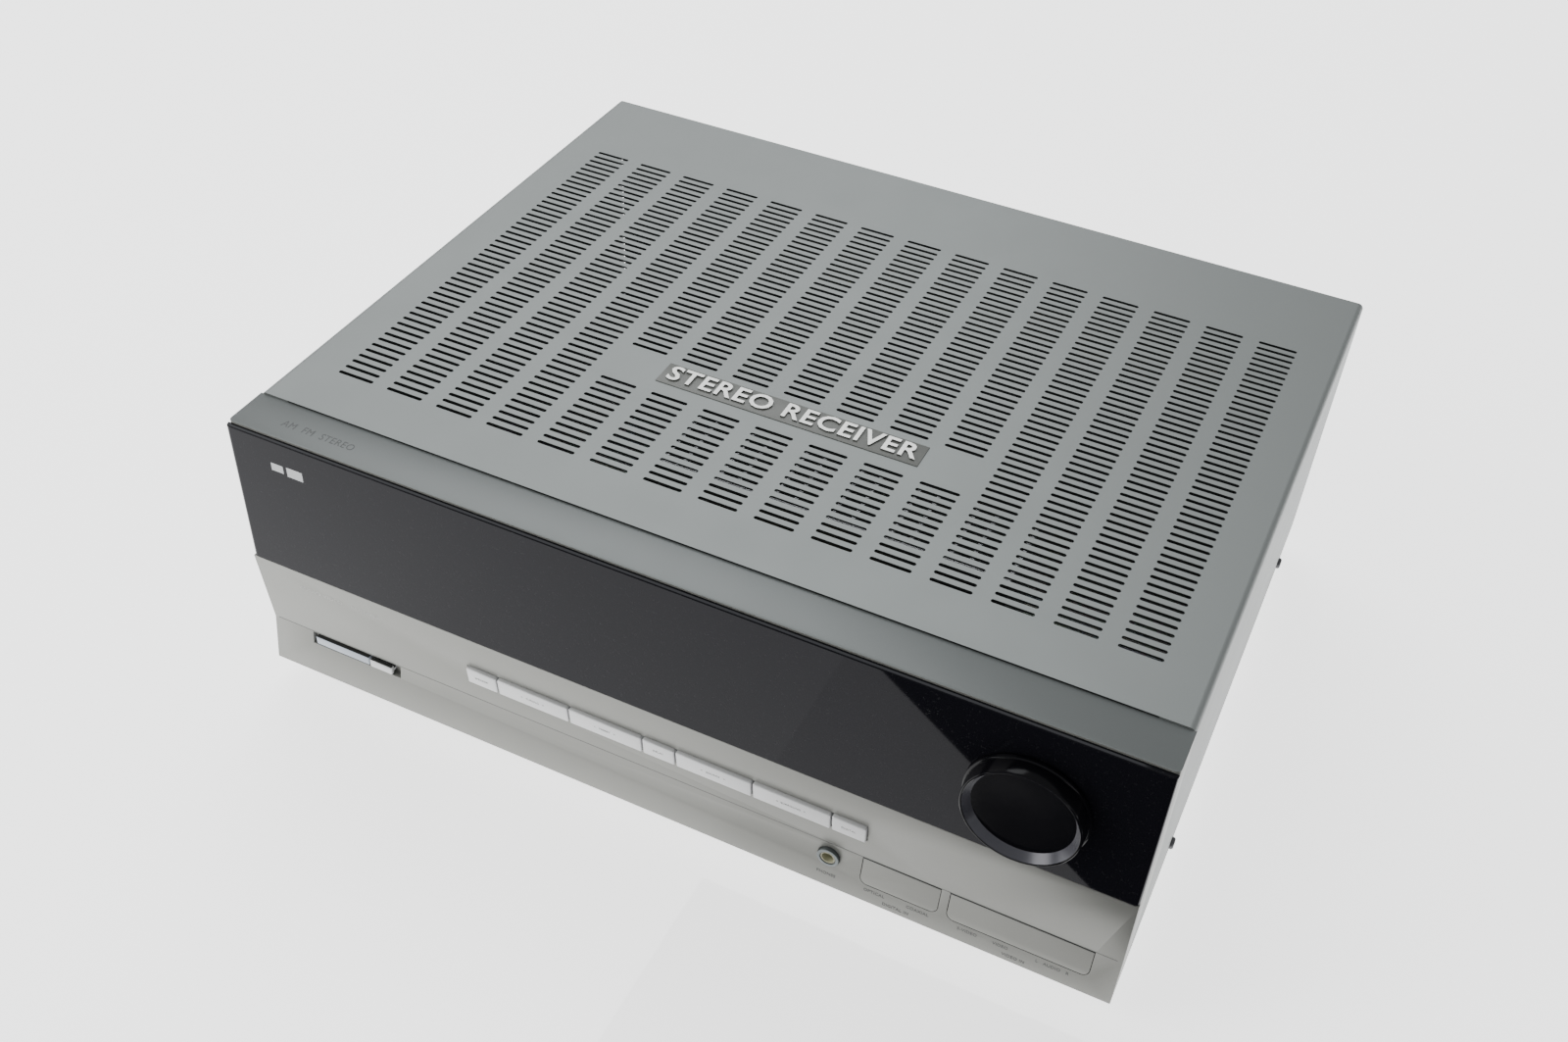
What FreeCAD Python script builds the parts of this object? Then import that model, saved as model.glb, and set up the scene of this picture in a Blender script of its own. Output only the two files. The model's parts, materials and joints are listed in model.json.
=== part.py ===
"""An audio-video receiver, built as its separate pieces.

Millimetres, +Z up, +Y towards the back. The origin lies under the middle of the receiver,
on the surface that its feet stand on. Every driving size is a cell of the sheet "Sizes",
and each piece is bound to those cells by formulas.
"""
import FreeCAD, Part
import os
import re

import Sketcher

SIZES = [
    # the case
    ("case_width", 440.0), ("case_depth", 327.0), ("case_height", 151.5), ("foot_height", 13.5),
    ("seam_ahead", 155.7), ("skin", 1.0), ("bend", 3.0), ("sheet_gap", 0.1), ("side_lift", 1.2),
    ("flange", 16.0),
    # how far a cutter runs past a face, and how far fused shapes run into each other
    ("past", 1.0), ("root", 1.0), ("weld", 0.5),
    # the slots of the cover
    ("slot_pitch_across", 27.0), ("slot_pitch_back", 5.05), ("slot_length", 19.0), ("slot_width", 2.0),
    ("slots_start", 29.5),
    # the name badge
    ("badge_width", 133.0), ("badge_height", 15.4), ("badge_thick", 1.2), ("badge_back", 94.2),
    ("badge_corner", 1.5),
    # the facia and the window
    ("facia_depth", 25.8), ("facia_wall", 2.5), ("trim_drop", 0.8), ("window_proud", 2.6),
    ("window_top", 1.8), ("window_bottom", 81.0), ("crease_drop", 126.4), ("crease_inset", 5.0),
    ("lip_reach", 3.7), ("corner", 2.4), ("edge", 0.5), ("ledge_share", 0.4), ("corner_reach", 20.0),
    ("subpanel_rim", 24.0), ("subpanel_deep", 92.0), ("subpanel_post_left", 24.0),
    ("subpanel_post_right", 8.0),
    # the display and the boards behind the facia
    ("tube_width", 190.0), ("tube_height", 34.0), ("tube_thick", 6.0), ("tube_low", 66.0),
    ("tube_lift", 14.0), ("display_side", 6.0), ("display_low", 12.0), ("display_high", 20.0),
    ("board", 1.6), ("front_board_ahead", 8.3), ("front_board_side", 15.0), ("front_board_drop", 9.0),
    ("front_board_space", 1.2), ("standby_board_space", 0.9), ("standby_board_low", 14.0),
    ("standby_board_side", 6.0),
    # the volume knob and its encoder
    ("knob_side", 52.5), ("knob_drop", 45.3), ("knob_rim", 25.6), ("knob_base", 27.0),
    ("knob_proud", 9.5), ("knob_gap", 0.8), ("knob_dish", 24.4), ("knob_face", 21.9),
    ("dish_deep", 4.0), ("knob_wall", 2.0), ("shaft_radius", 3.0), ("shaft_gap", 0.05),
    ("knob_skin", 2.0), ("knob_slope", 1.4), ("knob_inner", 1.2), ("knob_taper", 0.1),
    ("skirt_low", 1.4), ("skirt_top", 1.6), ("skirt_step", 0.7), ("dish_sag", 0.7), ("knob_round", 0.35),
    ("hub_radius", 5.5), ("hub_gap", 0.6), ("shaft_seat", 2.4),
    ("bush_radius", 4.5), ("bush_hole_gap", 0.2), ("nut_radius", 7.0), ("nut_thick", 2.0),
    ("nut_space", 1.5), ("encoder_size", 14.0), ("encoder_deep", 7.0), ("encoder_floor", 2.0),
    ("encoder_bore_long", 40.0),
    # the row of buttons
    ("small_pitch", 17.0), ("large_pitch", 38.5), ("button_gap", 0.9), ("button_drop", 106.65),
    ("button_tall", 10.3), ("button_proud", 2.0), ("button_travel", 0.8), ("slide_gap", 0.4),
    ("lip", 1.6), ("rest_gap", 0.3), ("switch_size", 6.0), ("switch_tall", 4.3), ("stem", 1.2),
    ("plunger", 3.0), ("lip_thick", 1.6), ("press_gap", 0.2), ("press_spare", 0.1),
    ("button_round", 0.6), ("front_zone", 1.9), ("stem_radius", 1.7),
    # the standby button and its light
    ("power_side", 23.0), ("power_wide", 52.0), ("power_tall", 7.0), ("standby_start", 34.4),
    ("standby_wide", 12.9), ("standby_tall", 4.7), ("lens_tall", 4.8), ("power_deep", 2.2),
    ("power_floor", 2.5), ("lens_drop", 2.0), ("lens_thick", 3.1), ("lens_step", 0.8), ("lens_side", 2.0),
    ("lens_space", 1.0), ("standby_drop", 2.0), ("standby_proud", 1.6), ("neck_step", 0.8),
    ("tongue_thick", 1.2),
    # the headphone socket
    ("phones_side", 16.1), ("phones_drop", 134.0), ("phones_bore", 3.25), ("phones_ring", 5.35),
    ("phones_proud", 1.3), ("phones_case", 12.0), ("phones_case_long", 12.3), ("phones_wall", 3.0),
    ("phones_ledge", 1.0), ("phones_back", 1.0), ("seat_reach", 8.0), ("ring_step", 0.4),
    ("mouth_step", 0.6), ("mouth_deep", 2.0),
    # the two doors and the jacks behind them
    ("av_side", 12.1), ("av_wide", 65.3), ("door_space", 4.6), ("digital_wide", 36.9),
    ("door_tall", 15.0), ("door_thick", 2.0), ("door_gap", 0.3), ("door_corner", 3.5),
    ("pin_radius", 0.8), ("pin_long", 1.5), ("bay_gap", 0.7), ("bay_wall", 1.8),
    ("bay_floor", 1.2), ("bay_offset", 1.1), ("stop_rib", 1.0), ("rib_thick", 1.2), ("rib_step", 0.5),
    ("jack_plate", 3.0), ("corner_zone", 15.0), ("front_jack_side", 11.0), ("front_svideo_side", 12.0),
    ("front_svideo_long", 3.5), ("front_svideo_deep", 6.0), ("front_optical_side", 10.8),
    ("front_coax_side", 10.0), ("nose_long", 5.0), ("jack_board_side", 2.0), ("jack_board_low", 2.0),
    # phono jacks
    ("jack_radius", 4.15), ("jack_inner", 3.45), ("jack_core", 1.6), ("jack_long", 8.5),
    ("jack_block", 12.0), ("jack_hole_gap", 0.35), ("jack_pitch", 18.0), ("jack_row", 18.0),
    ("jack_top", 23.0), ("front_jack_pitch", 13.5), ("antenna_side", 32.0), ("digital_step", 38.0),
    ("audio_step", 32.0), ("video_step", 36.0), ("socket_radius", 5.3), ("socket_bore", 4.5),
    ("jack_space", 0.5), ("shell_gap", 0.1), ("core_short", 0.5), ("pit_extra", 4.0), ("collar_gap", 0.05),
    ("hole_gap", 0.2), ("jack_screw", 15.0), ("signal_side", 10.0), ("signal_rows", 2.7),
    # the sockets that aren't phono jacks
    ("svideo_half", 7.5), ("socket_gap", 0.3), ("socket_proud", 1.4), ("socket_pit", 5.0),
    ("socket_floor", 1.0), ("socket_floor_deep", 4.4), ("key_half", 1.2), ("key_deep", 3.8),
    ("key_proud", 0.4), ("key_low", 3.6), ("key_high", 2.0),
    ("optical_half", 4.8), ("optical_pit", 3.0), ("optical_case", 6.5), ("optical_deep", 6.0),
    ("optical_proud", 1.0),
    # the antenna socket, its clips and the tuner
    ("antenna_drop", 22.0), ("antenna_radius", 4.6), ("antenna_seat", 5.2), ("antenna_bore", 3.2),
    ("antenna_step", 1.0), ("antenna_deep", 6.0), ("clip_drop", 52.0), ("clip_half_wide", 12.5),
    ("clip_half_tall", 8.5), ("clip_deep", 6.0), ("clip_gap", 0.5), ("clip_shift", 6.0),
    ("slit_half", 1.5), ("slit_floor", 1.0), ("slit_low", 6.5), ("slit_high", 2.5),
    ("lever_half", 4.0), ("lever_out", 9.5), ("lever_low", 0.5), ("lever_high", 7.0),
    ("tuner_half", 17.0), ("tuner_low", 14.0), ("module_drop", 8.0),
    # speaker posts
    ("post_pitch", 34.0), ("post_row", 25.0), ("post_x", 40.0), ("post_low", 38.5),
    ("post_radius", 2.9), ("wire_hole", 1.1), ("cap_radius", 6.2), ("cap_long", 15.4),
    ("cap_end", 2.0), ("plate_thick", 3.0), ("rear_proud", 19.7), ("cap_flute", 0.9),
    ("cap_neck", 0.6), ("cap_skirt", 1.2), ("cap_step", 1.8), ("cap_round", 0.8), ("flute_out", 0.3),
    ("flute_start", 2.6), ("plate_rim", 13.0), ("plate_side", 15.0), ("boss_skin", 2.0),
    ("boss_long", 6.0), ("post_inside", 11.0), ("post_end_gap", 0.4), ("post_screw_side", 22.0),
    ("post_screw_low", 18.0),
    # power supply and amplifier
    ("core_width", 108.0), ("core_tall", 90.0), ("core_deep", 48.0), ("core_leg", 34.0),
    ("core_yoke", 16.0), ("coil_bulge", 15.0), ("coil_gap", 0.4), ("supply_side", 78.0),
    ("supply_back", 66.0), ("sink_width", 190.0), ("sink_tall", 96.0), ("sink_base", 6.0),
    ("sink_fin", 34.0), ("fin_thick", 1.8), ("sink_gap", 16.0), ("sink_back", 96.0),
    ("board_lift", 9.0), ("can_radius", 16.0), ("can_tall", 46.0), ("tuner_deep", 46.0),
    ("can_side", 8.0), ("can_space", 6.0), ("can_front", 14.0), ("bolt_inset", 6.0), ("bolt_radius", 2.0),
    ("bolt_head", 4.0), ("bolt_head_thick", 3.0), ("package_side", 10.0), ("package_wide", 16.0),
    ("package_spare", 36.0), ("package_thick", 5.0), ("package_low", 12.0), ("package_tall", 20.0),
    ("amplifier_front", 5.0), ("pillar_side", 6.0), ("pillar_front", 12.0), ("pillar_back", 14.0),
    ("pillar_radius", 3.5), ("vent_side", 14.0), ("vent_spare", 36.0), ("vent_wide", 4.0),
    ("vent_long", 60.0), ("vent_back", 4.0),
    # feet and fasteners
    ("foot_radius", 21.0), ("foot_side", 48.0), ("foot_front", 32.0), ("foot_back", 285.0),
    ("screw_radius", 1.5), ("screw_head", 3.0), ("head_thick", 1.8), ("screw_long", 7.0),
    ("facia_screw_up", 5.6), ("boss_wall", 1.3), ("boss_spare", 2.0), ("head_edge", 0.6),
    ("head_round", 0.7), ("foot_waist", 0.6), ("foot_taper", 2.0), ("foot_edge", 0.6),
    ("foot_well", 6.0), ("foot_web", 4.0),
    # the mains inlet
    ("inlet_side", 32.0), ("inlet_up", 36.0), ("inlet_wide", 27.0), ("inlet_tall", 19.5),
    ("inlet_deep", 18.0), ("flange_wide", 50.0), ("flange_tall", 24.0), ("flange_thick", 2.5),
    ("inlet_floor", 2.0), ("inlet_wall", 1.8), ("blade_shift", 7.0), ("blade_drop", 1.5),
    ("blade_half_wide", 1.0), ("blade_half_tall", 2.0), ("blade_recess", 2.0), ("ear", 5.0),
]
NAMES = {name for name, _ in SIZES}

V = FreeCAD.Vector
TURNS = {
    "Z": FreeCAD.Rotation(),
    "Y": FreeCAD.Rotation(V(1, 0, 0), -90),
    "-Y": FreeCAD.Rotation(V(1, 0, 0), 90),
    "X": FreeCAD.Rotation(V(0, 1, 0), 90),
    "-X": FreeCAD.Rotation(V(0, 1, 0), -90),
}

# places that many pieces share, as formulas on the sheet
SEAM = "(-seam_ahead)"
FACE = "(-seam_ahead - facia_depth)"
TRIM = "(-seam_ahead - facia_depth + window_proud)"
BACK = "(case_depth - seam_ahead)"
TOP = "(foot_height + case_height)"
BASE = "foot_height"
FLOOR = "(foot_height + skin)"
HALF = "(case_width / 2)"
INSIDE = "(case_width / 2 - skin - sheet_gap)"
WINDOW_LOW = f"({TOP} - window_bottom)"
CREASE_Y = f"({FACE} + crease_inset)"
CREASE_Z = f"({TOP} - crease_drop)"
REAR_INNER = f"({BACK} - skin)"
BOARD_FRONT = f"({SEAM} - front_board_ahead)"
KNOB_X = f"({HALF} - knob_side)"
AV_RIGHT = f"({HALF} - av_side)"
AV_LEFT = f"({AV_RIGHT} - av_wide)"
DIGITAL_RIGHT = f"({AV_LEFT} - door_space)"
DIGITAL_LEFT = f"({DIGITAL_RIGHT} - digital_wide)"
PHONES_X = f"({DIGITAL_LEFT} - phones_side)"
POWER_LEFT = f"(power_side - {HALF})"
POWER_RIGHT = f"({POWER_LEFT} + power_wide)"
STANDBY_LEFT = f"({POWER_LEFT} + standby_start)"
STANDBY_RIGHT = f"({STANDBY_LEFT} + standby_wide)"
LENS_LEFT = f"({POWER_LEFT} + lens_side)"
LENS_RIGHT = f"({STANDBY_LEFT} - lens_space)"
LENS_TOP = f"({CREASE_Z} - lens_drop)"
STANDBY_TOP = f"({CREASE_Z} - standby_drop)"
STANDBY_LOW = f"({STANDBY_TOP} - standby_tall)"
STANDBY_MIDDLE = f"({STANDBY_LEFT} + {STANDBY_RIGHT}) / 2"
NECK_LOW = f"({STANDBY_LOW} + neck_step)"
NECK_TOP = f"({STANDBY_TOP} - neck_step)"
SUPPLY_X = f"(supply_side - {HALF})"
SINK_LEFT = f"({SUPPLY_X} + core_width / 2 + sink_gap)"
SINK_RIGHT = f"({SINK_LEFT} + sink_width)"
INLET_X = f"(inlet_side - {HALF})"
ANTENNA_X = f"({HALF} - antenna_side)"
REAR_DIGITAL_X = f"({ANTENNA_X} - digital_step)"
AUDIO_X = f"({REAR_DIGITAL_X} - audio_step)"
AUDIO_COLUMNS = 8
VIDEO_COLUMNS = 5
POST_COLUMNS = 5
CAP_FLUTES = 12
FLOOR_VENTS = 9
SINK_FINS = 20
PACKAGES = 10
VIDEO_X = f"({AUDIO_X} - {AUDIO_COLUMNS - 1} * jack_pitch - video_step)"

doc = FreeCAD.newDocument("receiver")
sheet = doc.addObject("Spreadsheet::Sheet", "Sizes")
for row, (alias, number) in enumerate(SIZES, start=1):
    sheet.set(f"A{row}", alias)
    sheet.set(f"B{row}", str(number))
    sheet.setAlias(f"B{row}", alias)
doc.recompute()


# ---------------------------------------------------------------- helpers

def size(alias):
    """A size of the sheet as a plain number, for the shapes that Part's functions make."""
    return float(getattr(sheet, alias))


def bind(thing, prop, text):
    """Tie a property to a formula whose words are sizes of the sheet."""
    def cell(match):
        word = match.group(0)
        return "Sizes." + word if word in NAMES else word
    thing.setExpression(prop, re.sub(r"[a-z_]+", cell, str(text)))


def place(thing, at, along="Z"):
    """Turn a piece's own +Z to the given direction and tie its place to formulas."""
    thing.Placement = FreeCAD.Placement(V(), TURNS[along])
    for axis, text in zip("xyz", at):
        bind(thing, "Placement.Base." + axis, text)
    return thing


def box(name, x, y, z):
    """A block between two formulas along each axis."""
    solid = doc.addObject("Part::Box", name)
    for prop, axis, (low, high) in (("Length", "x", x), ("Width", "y", y), ("Height", "z", z)):
        bind(solid, prop, f"({high}) - ({low})")
        bind(solid, "Placement.Base." + axis, low)
    return solid


def rod(name, radius, length, at, along="Z"):
    """A cylinder that starts at a point and runs along a direction."""
    solid = doc.addObject("Part::Cylinder", name)
    bind(solid, "Radius", radius)
    bind(solid, "Height", length)
    return place(solid, at, along)


def joined(name, pieces):
    """Several shapes fused into one."""
    solid = doc.addObject("Part::MultiFuse", name)
    solid.Shapes = pieces
    return solid


def group(name, pieces):
    """Several separate solids kept together."""
    solids = doc.addObject("Part::Compound", name)
    solids.Links = pieces
    return solids


def cut(name, base, tools):
    """A shape with one or more tools taken out of it."""
    solid = doc.addObject("Part::Cut", name)
    solid.Base = base
    solid.Tool = tools[0] if len(tools) == 1 else group(name + "_tools", tools)
    return solid


def trimmed(name, solid, limit):
    """The part of a shape that lies inside another."""
    piece = doc.addObject("Part::Common", name)
    piece.Base = solid
    piece.Tool = limit
    return piece


def start_body(name):
    """A new PartDesign body."""
    return doc.addObject("PartDesign::Body", name)


def outline(body, plane, points, name="outline"):
    """A closed polygon sketch whose corners are tied to pairs of formulas."""
    sketch = body.newObject("Sketcher::SketchObject", body.Name + "_" + name)
    support = [item for item in body.Origin.OriginFeatures if item.Role == plane][0]
    sketch.AttachmentSupport = [(support, "")]
    sketch.MapMode = "FlatFace"
    count = len(points)
    start = [FreeCAD.Rotation(V(0, 0, 1), 360.0 * i / count).multVec(V(10, 3, 0)) for i in range(count)]
    for i in range(count):
        sketch.addGeometry(Part.LineSegment(start[i], start[(i + 1) % count]))
    for i in range(count):
        sketch.addConstraint(Sketcher.Constraint("Coincident", i, 2, (i + 1) % count, 1))
    for i, corner in enumerate(points):
        for kind, text, now in zip(("DistanceX", "DistanceY"), corner, (start[i].x, start[i].y)):
            index = sketch.addConstraint(Sketcher.Constraint(kind, -1, 1, i, 1, now))
            bind(sketch, f"Constraints[{index}]", text)
    return sketch


def padded(body, sketch, length, midplane=True):
    """The sketch's outline made solid, to both sides of its plane or to one."""
    pad = body.newObject("PartDesign::Pad", body.Name + "_pad")
    pad.Profile = sketch
    pad.Midplane = midplane
    bind(pad, "Length", length)
    return pad


def prism(name, points, low, high, plane="YZ_Plane"):
    """A body whose outline in Y and Z runs between two formulas along X."""
    body = start_body(name)
    padded(body, outline(body, plane, points), f"({high}) - ({low})")
    bind(body, "Placement.Base.x", f"(({low}) + ({high})) / 2")
    return body


def turned(name, profile, at, along="Z"):
    """A body turned about its own Z from pairs of radius and height."""
    body = start_body(name)
    sketch = outline(body, "XZ_Plane", profile)
    spin = body.newObject("PartDesign::Revolution", name + "_turn")
    spin.Profile = sketch
    spin.ReferenceAxis = (sketch, ["V_Axis"])
    spin.Angle = 360
    return place(body, at, along)


def soften(body, wanted, radius):
    """Round the edges of a body's last feature that the given test picks."""
    doc.recompute()
    shape = body.Tip.Shape
    edges = [f"Edge{i}" for i, edge in enumerate(shape.Edges, start=1) if wanted(edge)]
    if not edges:
        raise ValueError("no edge to round on " + body.Name)
    base = body.Tip
    rounding = body.newObject("PartDesign::Fillet", body.Name + "_round")
    rounding.Base = (base, edges)
    bind(rounding, "Radius", radius)
    return body


def runs(edge, axis):
    """True for a straight edge along an axis, given as 0, 1 or 2."""
    if edge.Curve.TypeId != "Part::GeomLine":
        return False
    return abs(abs(edge.Curve.Direction[axis]) - 1) < 1e-4


def ring_at(edge, height):
    """True for a full circle of a turned body at a height."""
    return edge.Curve.TypeId == "Part::GeomCircle" and abs(edge.Curve.Center.z - height) < 1e-3


pieces = []


def keep(solid, label):
    """Make an object a piece of the receiver, under its own name."""
    solid.Label = label
    pieces.append(solid)
    return solid


def upper_face(z):
    """How far forward the silver face stands at a height above its crease."""
    return f"({FACE} + crease_inset * ({WINDOW_LOW} - ({z})) / (crease_drop - window_bottom))"


def lower_face(z):
    """How far forward the silver face stands at a height below its crease."""
    return f"({CREASE_Y} - lip_reach * ({CREASE_Z} - ({z})) / (case_height - crease_drop))"


# ---------------------------------------------------------------- the case

def slot(x, y):
    """One vent slot with round ends, as a tool that passes through the cover."""
    half = (size("slot_length") - size("slot_width")) / 2
    end = size("slot_width") / 2
    low = size("foot_height") + size("case_height") - 2 * size("skin")
    corners = [V(x - half, y - end, low), V(x + half, y - end, low),
               V(x + half, y + end, low), V(x - half, y + end, low)]
    edges = [
        Part.LineSegment(corners[0], corners[1]),
        Part.Arc(corners[1], V(x + half + end, y, low), corners[2]),
        Part.LineSegment(corners[2], corners[3]),
        Part.Arc(corners[3], V(x - half - end, y, low), corners[0]),
    ]
    face = Part.Face(Part.Wire([edge.toShape() for edge in edges]))
    return face.extrude(V(0, 0, 3 * size("skin")))


def slot_columns():
    """Vent columns that fit across the cover, counted out from its middle."""
    room = size("case_width") / 2 - size("bend") - size("slot_length") / 2 - 4
    return int(room // size("slot_pitch_across"))


def slot_rows():
    """Vent rows that fit between the first row and the stretch left plain at the back."""
    plain = 58.0
    return int((size("case_depth") - size("slots_start") - plain) // size("slot_pitch_back")) + 1


def by_badge(column, y):
    """True where a slot would lie under the badge or in the plain field around it."""
    margin = 5.0
    wide = abs(column) * size("slot_pitch_across") - size("slot_length") / 2 < size("badge_width") / 2 + 15
    ahead = y > size("badge_back") - margin
    behind = y < size("badge_back") + size("badge_height") + margin
    return wide and ahead and behind


def cover_slots():
    """All vent slots of the cover in one tool."""
    reach = slot_columns()
    tools = []
    for column in range(-reach, reach + 1):
        for line in range(slot_rows()):
            y = size("slots_start") + line * size("slot_pitch_back")
            if not by_badge(column, y):
                tools.append(slot(column * size("slot_pitch_across"), y - size("seam_ahead")))
    tool = doc.addObject("Part::Feature", "cover_slots")
    tool.Shape = Part.Compound(tools)
    return tool


def screw_places():
    """Where the cover's side screws go: the side's sign and the distance back from the seam."""
    return [(side, share) for side in (-1, 1) for share in ("case_depth * 0.2", "case_depth * 0.86")]


def make_cover():
    low = f"{BASE} + side_lift"
    sheet_outer = [(f"-{HALF}", low), (HALF, low), (HALF, TOP), (f"-{HALF}", TOP)]
    body = start_body("cover_sheet")
    padded(body, outline(body, "XZ_Plane", sheet_outer), "case_depth")
    bind(body, "Placement.Base.y", f"{SEAM} + case_depth / 2")
    soften(body, lambda e: runs(e, 1) and e.CenterOfMass.z > size("case_height"), "bend")
    inner = start_body("cover_inner")
    inner_points = [
        (f"-{HALF} + skin", f"{low} - skin"), (f"{HALF} - skin", f"{low} - skin"),
        (f"{HALF} - skin", f"{TOP} - skin"), (f"-{HALF} + skin", f"{TOP} - skin"),
    ]
    padded(inner, outline(inner, "XZ_Plane", inner_points), "case_depth + 2 * skin")
    bind(inner, "Placement.Base.y", f"{SEAM} + case_depth / 2")
    soften(inner, lambda e: runs(e, 1) and e.CenterOfMass.z > size("case_height") - size("bend"),
           "bend - skin")
    holes = []
    for i, (side, share) in enumerate(screw_places()):
        at = (f"{side} * ({HALF} - 2 * skin)", f"{SEAM} + {share}", f"{BASE} + flange / 2")
        holes.append(rod(f"cover_hole{i}", "screw_radius + sheet_gap", "4 * skin", at, "X"
                         if side > 0 else "-X"))
    keep(cut("top_cover", body, [inner, cover_slots()] + holes), "top_cover")


def pillar_places():
    """Feet of the amplifier board: x, y formulas over its length and depth."""
    xs = (f"{SINK_LEFT} + pillar_side", f"{SINK_RIGHT} - pillar_side")
    ys = (f"{SEAM} + pillar_front", f"{SEAM} + sink_back - sink_base - pillar_back")
    return [(x, y) for x in xs for y in ys]


def foot_places():
    """The centres of the four feet."""
    return [(f"{side} * ({HALF} - foot_side)", f"{SEAM} + {back}") for side in (-1, 1)
            for back in ("foot_front", "foot_back")]


def make_base():
    floor = box("floor_sheet", (f"-{INSIDE}", INSIDE), (SEAM, BACK), (BASE, FLOOR))
    sides = []
    for side in (-1, 1):
        outer = f"{side} * {INSIDE}"
        inner = f"{side} * ({INSIDE} - skin)"
        x = (inner, outer) if side > 0 else (outer, inner)
        sides.append(box(f"floor_flange{side + 1}", x, (SEAM, BACK), (BASE, f"{BASE} + flange")))
    pillars = [
        rod(f"pillar{i}", "pillar_radius", "skin / 2 + board_lift", (x, y, f"{BASE} + skin / 2"))
        for i, (x, y) in enumerate(pillar_places())
    ]
    holes = [
        rod(f"foot_hole{i}", "screw_radius + sheet_gap", "3 * skin", (x, y, f"{BASE} - skin"))
        for i, (x, y) in enumerate(foot_places())
    ]
    for i, (side, share) in enumerate(screw_places()):
        at = (f"{side} * ({INSIDE} - 2 * skin)", f"{SEAM} + {share}", f"{BASE} + flange / 2")
        holes.append(rod(f"flange_hole{i}", "screw_radius", "4 * skin", at, "X" if side > 0 else "-X"))
    for i in range(FLOOR_VENTS):
        x = f"{SINK_LEFT} + vent_side + {i} * (sink_width - vent_spare) / {FLOOR_VENTS - 1}"
        y = f"{SEAM} + sink_back + vent_back"
        holes.append(box(f"floor_vent{i}", (x, f"{x} + vent_wide"), (y, f"{y} + vent_long"),
                         (f"{BASE} - skin", f"{FLOOR} + skin")))
    tray = joined("floor_tray", [floor] + sides + pillars)
    keep(cut("chassis_base", tray, holes), "chassis_base")


def make_feet():
    feet = []
    screws = []
    profile = [
        ("screw_radius + sheet_gap", "foot_height"), ("foot_radius", "foot_height"),
        ("foot_radius", "foot_height * foot_waist"), ("foot_radius - foot_taper", "foot_edge"),
        ("foot_radius - foot_taper - foot_edge", "0"), ("foot_well", "0"),
        ("foot_well", "foot_height - foot_web"), ("screw_radius + sheet_gap", "foot_height - foot_web"),
    ]
    head = [
        ("0", "-head_thick"), ("screw_head", "-head_thick"), ("screw_head", "0"),
        ("screw_radius", "0"), ("screw_radius", "screw_long"), ("0", "screw_long"),
    ]
    for i, (x, y) in enumerate(foot_places()):
        feet.append(turned(f"foot{i}", profile, (x, y, "0")))
        screws.append(turned(f"foot_screw{i}", head, (x, y, "foot_height - foot_web")))
    keep(group("feet", feet), "feet")
    keep(group("foot_screws", screws), "foot_screws")


# ---------------------------------------------------------------- the back

def audio_places():
    """Columns and rows of the rear audio jacks, from the antenna side."""
    return [(f"{AUDIO_X} - {i} * jack_pitch", f"{TOP} - jack_top - {j} * jack_row")
            for i in range(AUDIO_COLUMNS) for j in range(2)]


def video_places():
    """The rear video jacks: one row of phono jacks."""
    return [(f"{VIDEO_X} - {i} * jack_pitch", f"{TOP} - jack_top") for i in range(VIDEO_COLUMNS)]


def svideo_places():
    """The round multi-pin sockets under the video jacks."""
    return [(f"{VIDEO_X} - {i} * jack_pitch", f"{TOP} - jack_top - jack_row")
            for i in range(VIDEO_COLUMNS - 1)]


def coax_places():
    """The rear coaxial digital input."""
    return [(REAR_DIGITAL_X, f"{TOP} - jack_top - 2 * jack_row")]


def optical_places():
    """The rear optical digital inputs."""
    return [(REAR_DIGITAL_X, f"{TOP} - jack_top"), (REAR_DIGITAL_X, f"{TOP} - jack_top - jack_row")]


def post_places():
    """The speaker posts: five channels, the upper row positive."""
    return [(f"post_x - {i} * post_pitch", f"{BASE} + post_low + {j} * post_row")
            for i in range(POST_COLUMNS) for j in range(2)]


F_AXIS = f"{TOP} - antenna_drop"
CLIP_Z = f"{TOP} - clip_drop"


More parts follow.
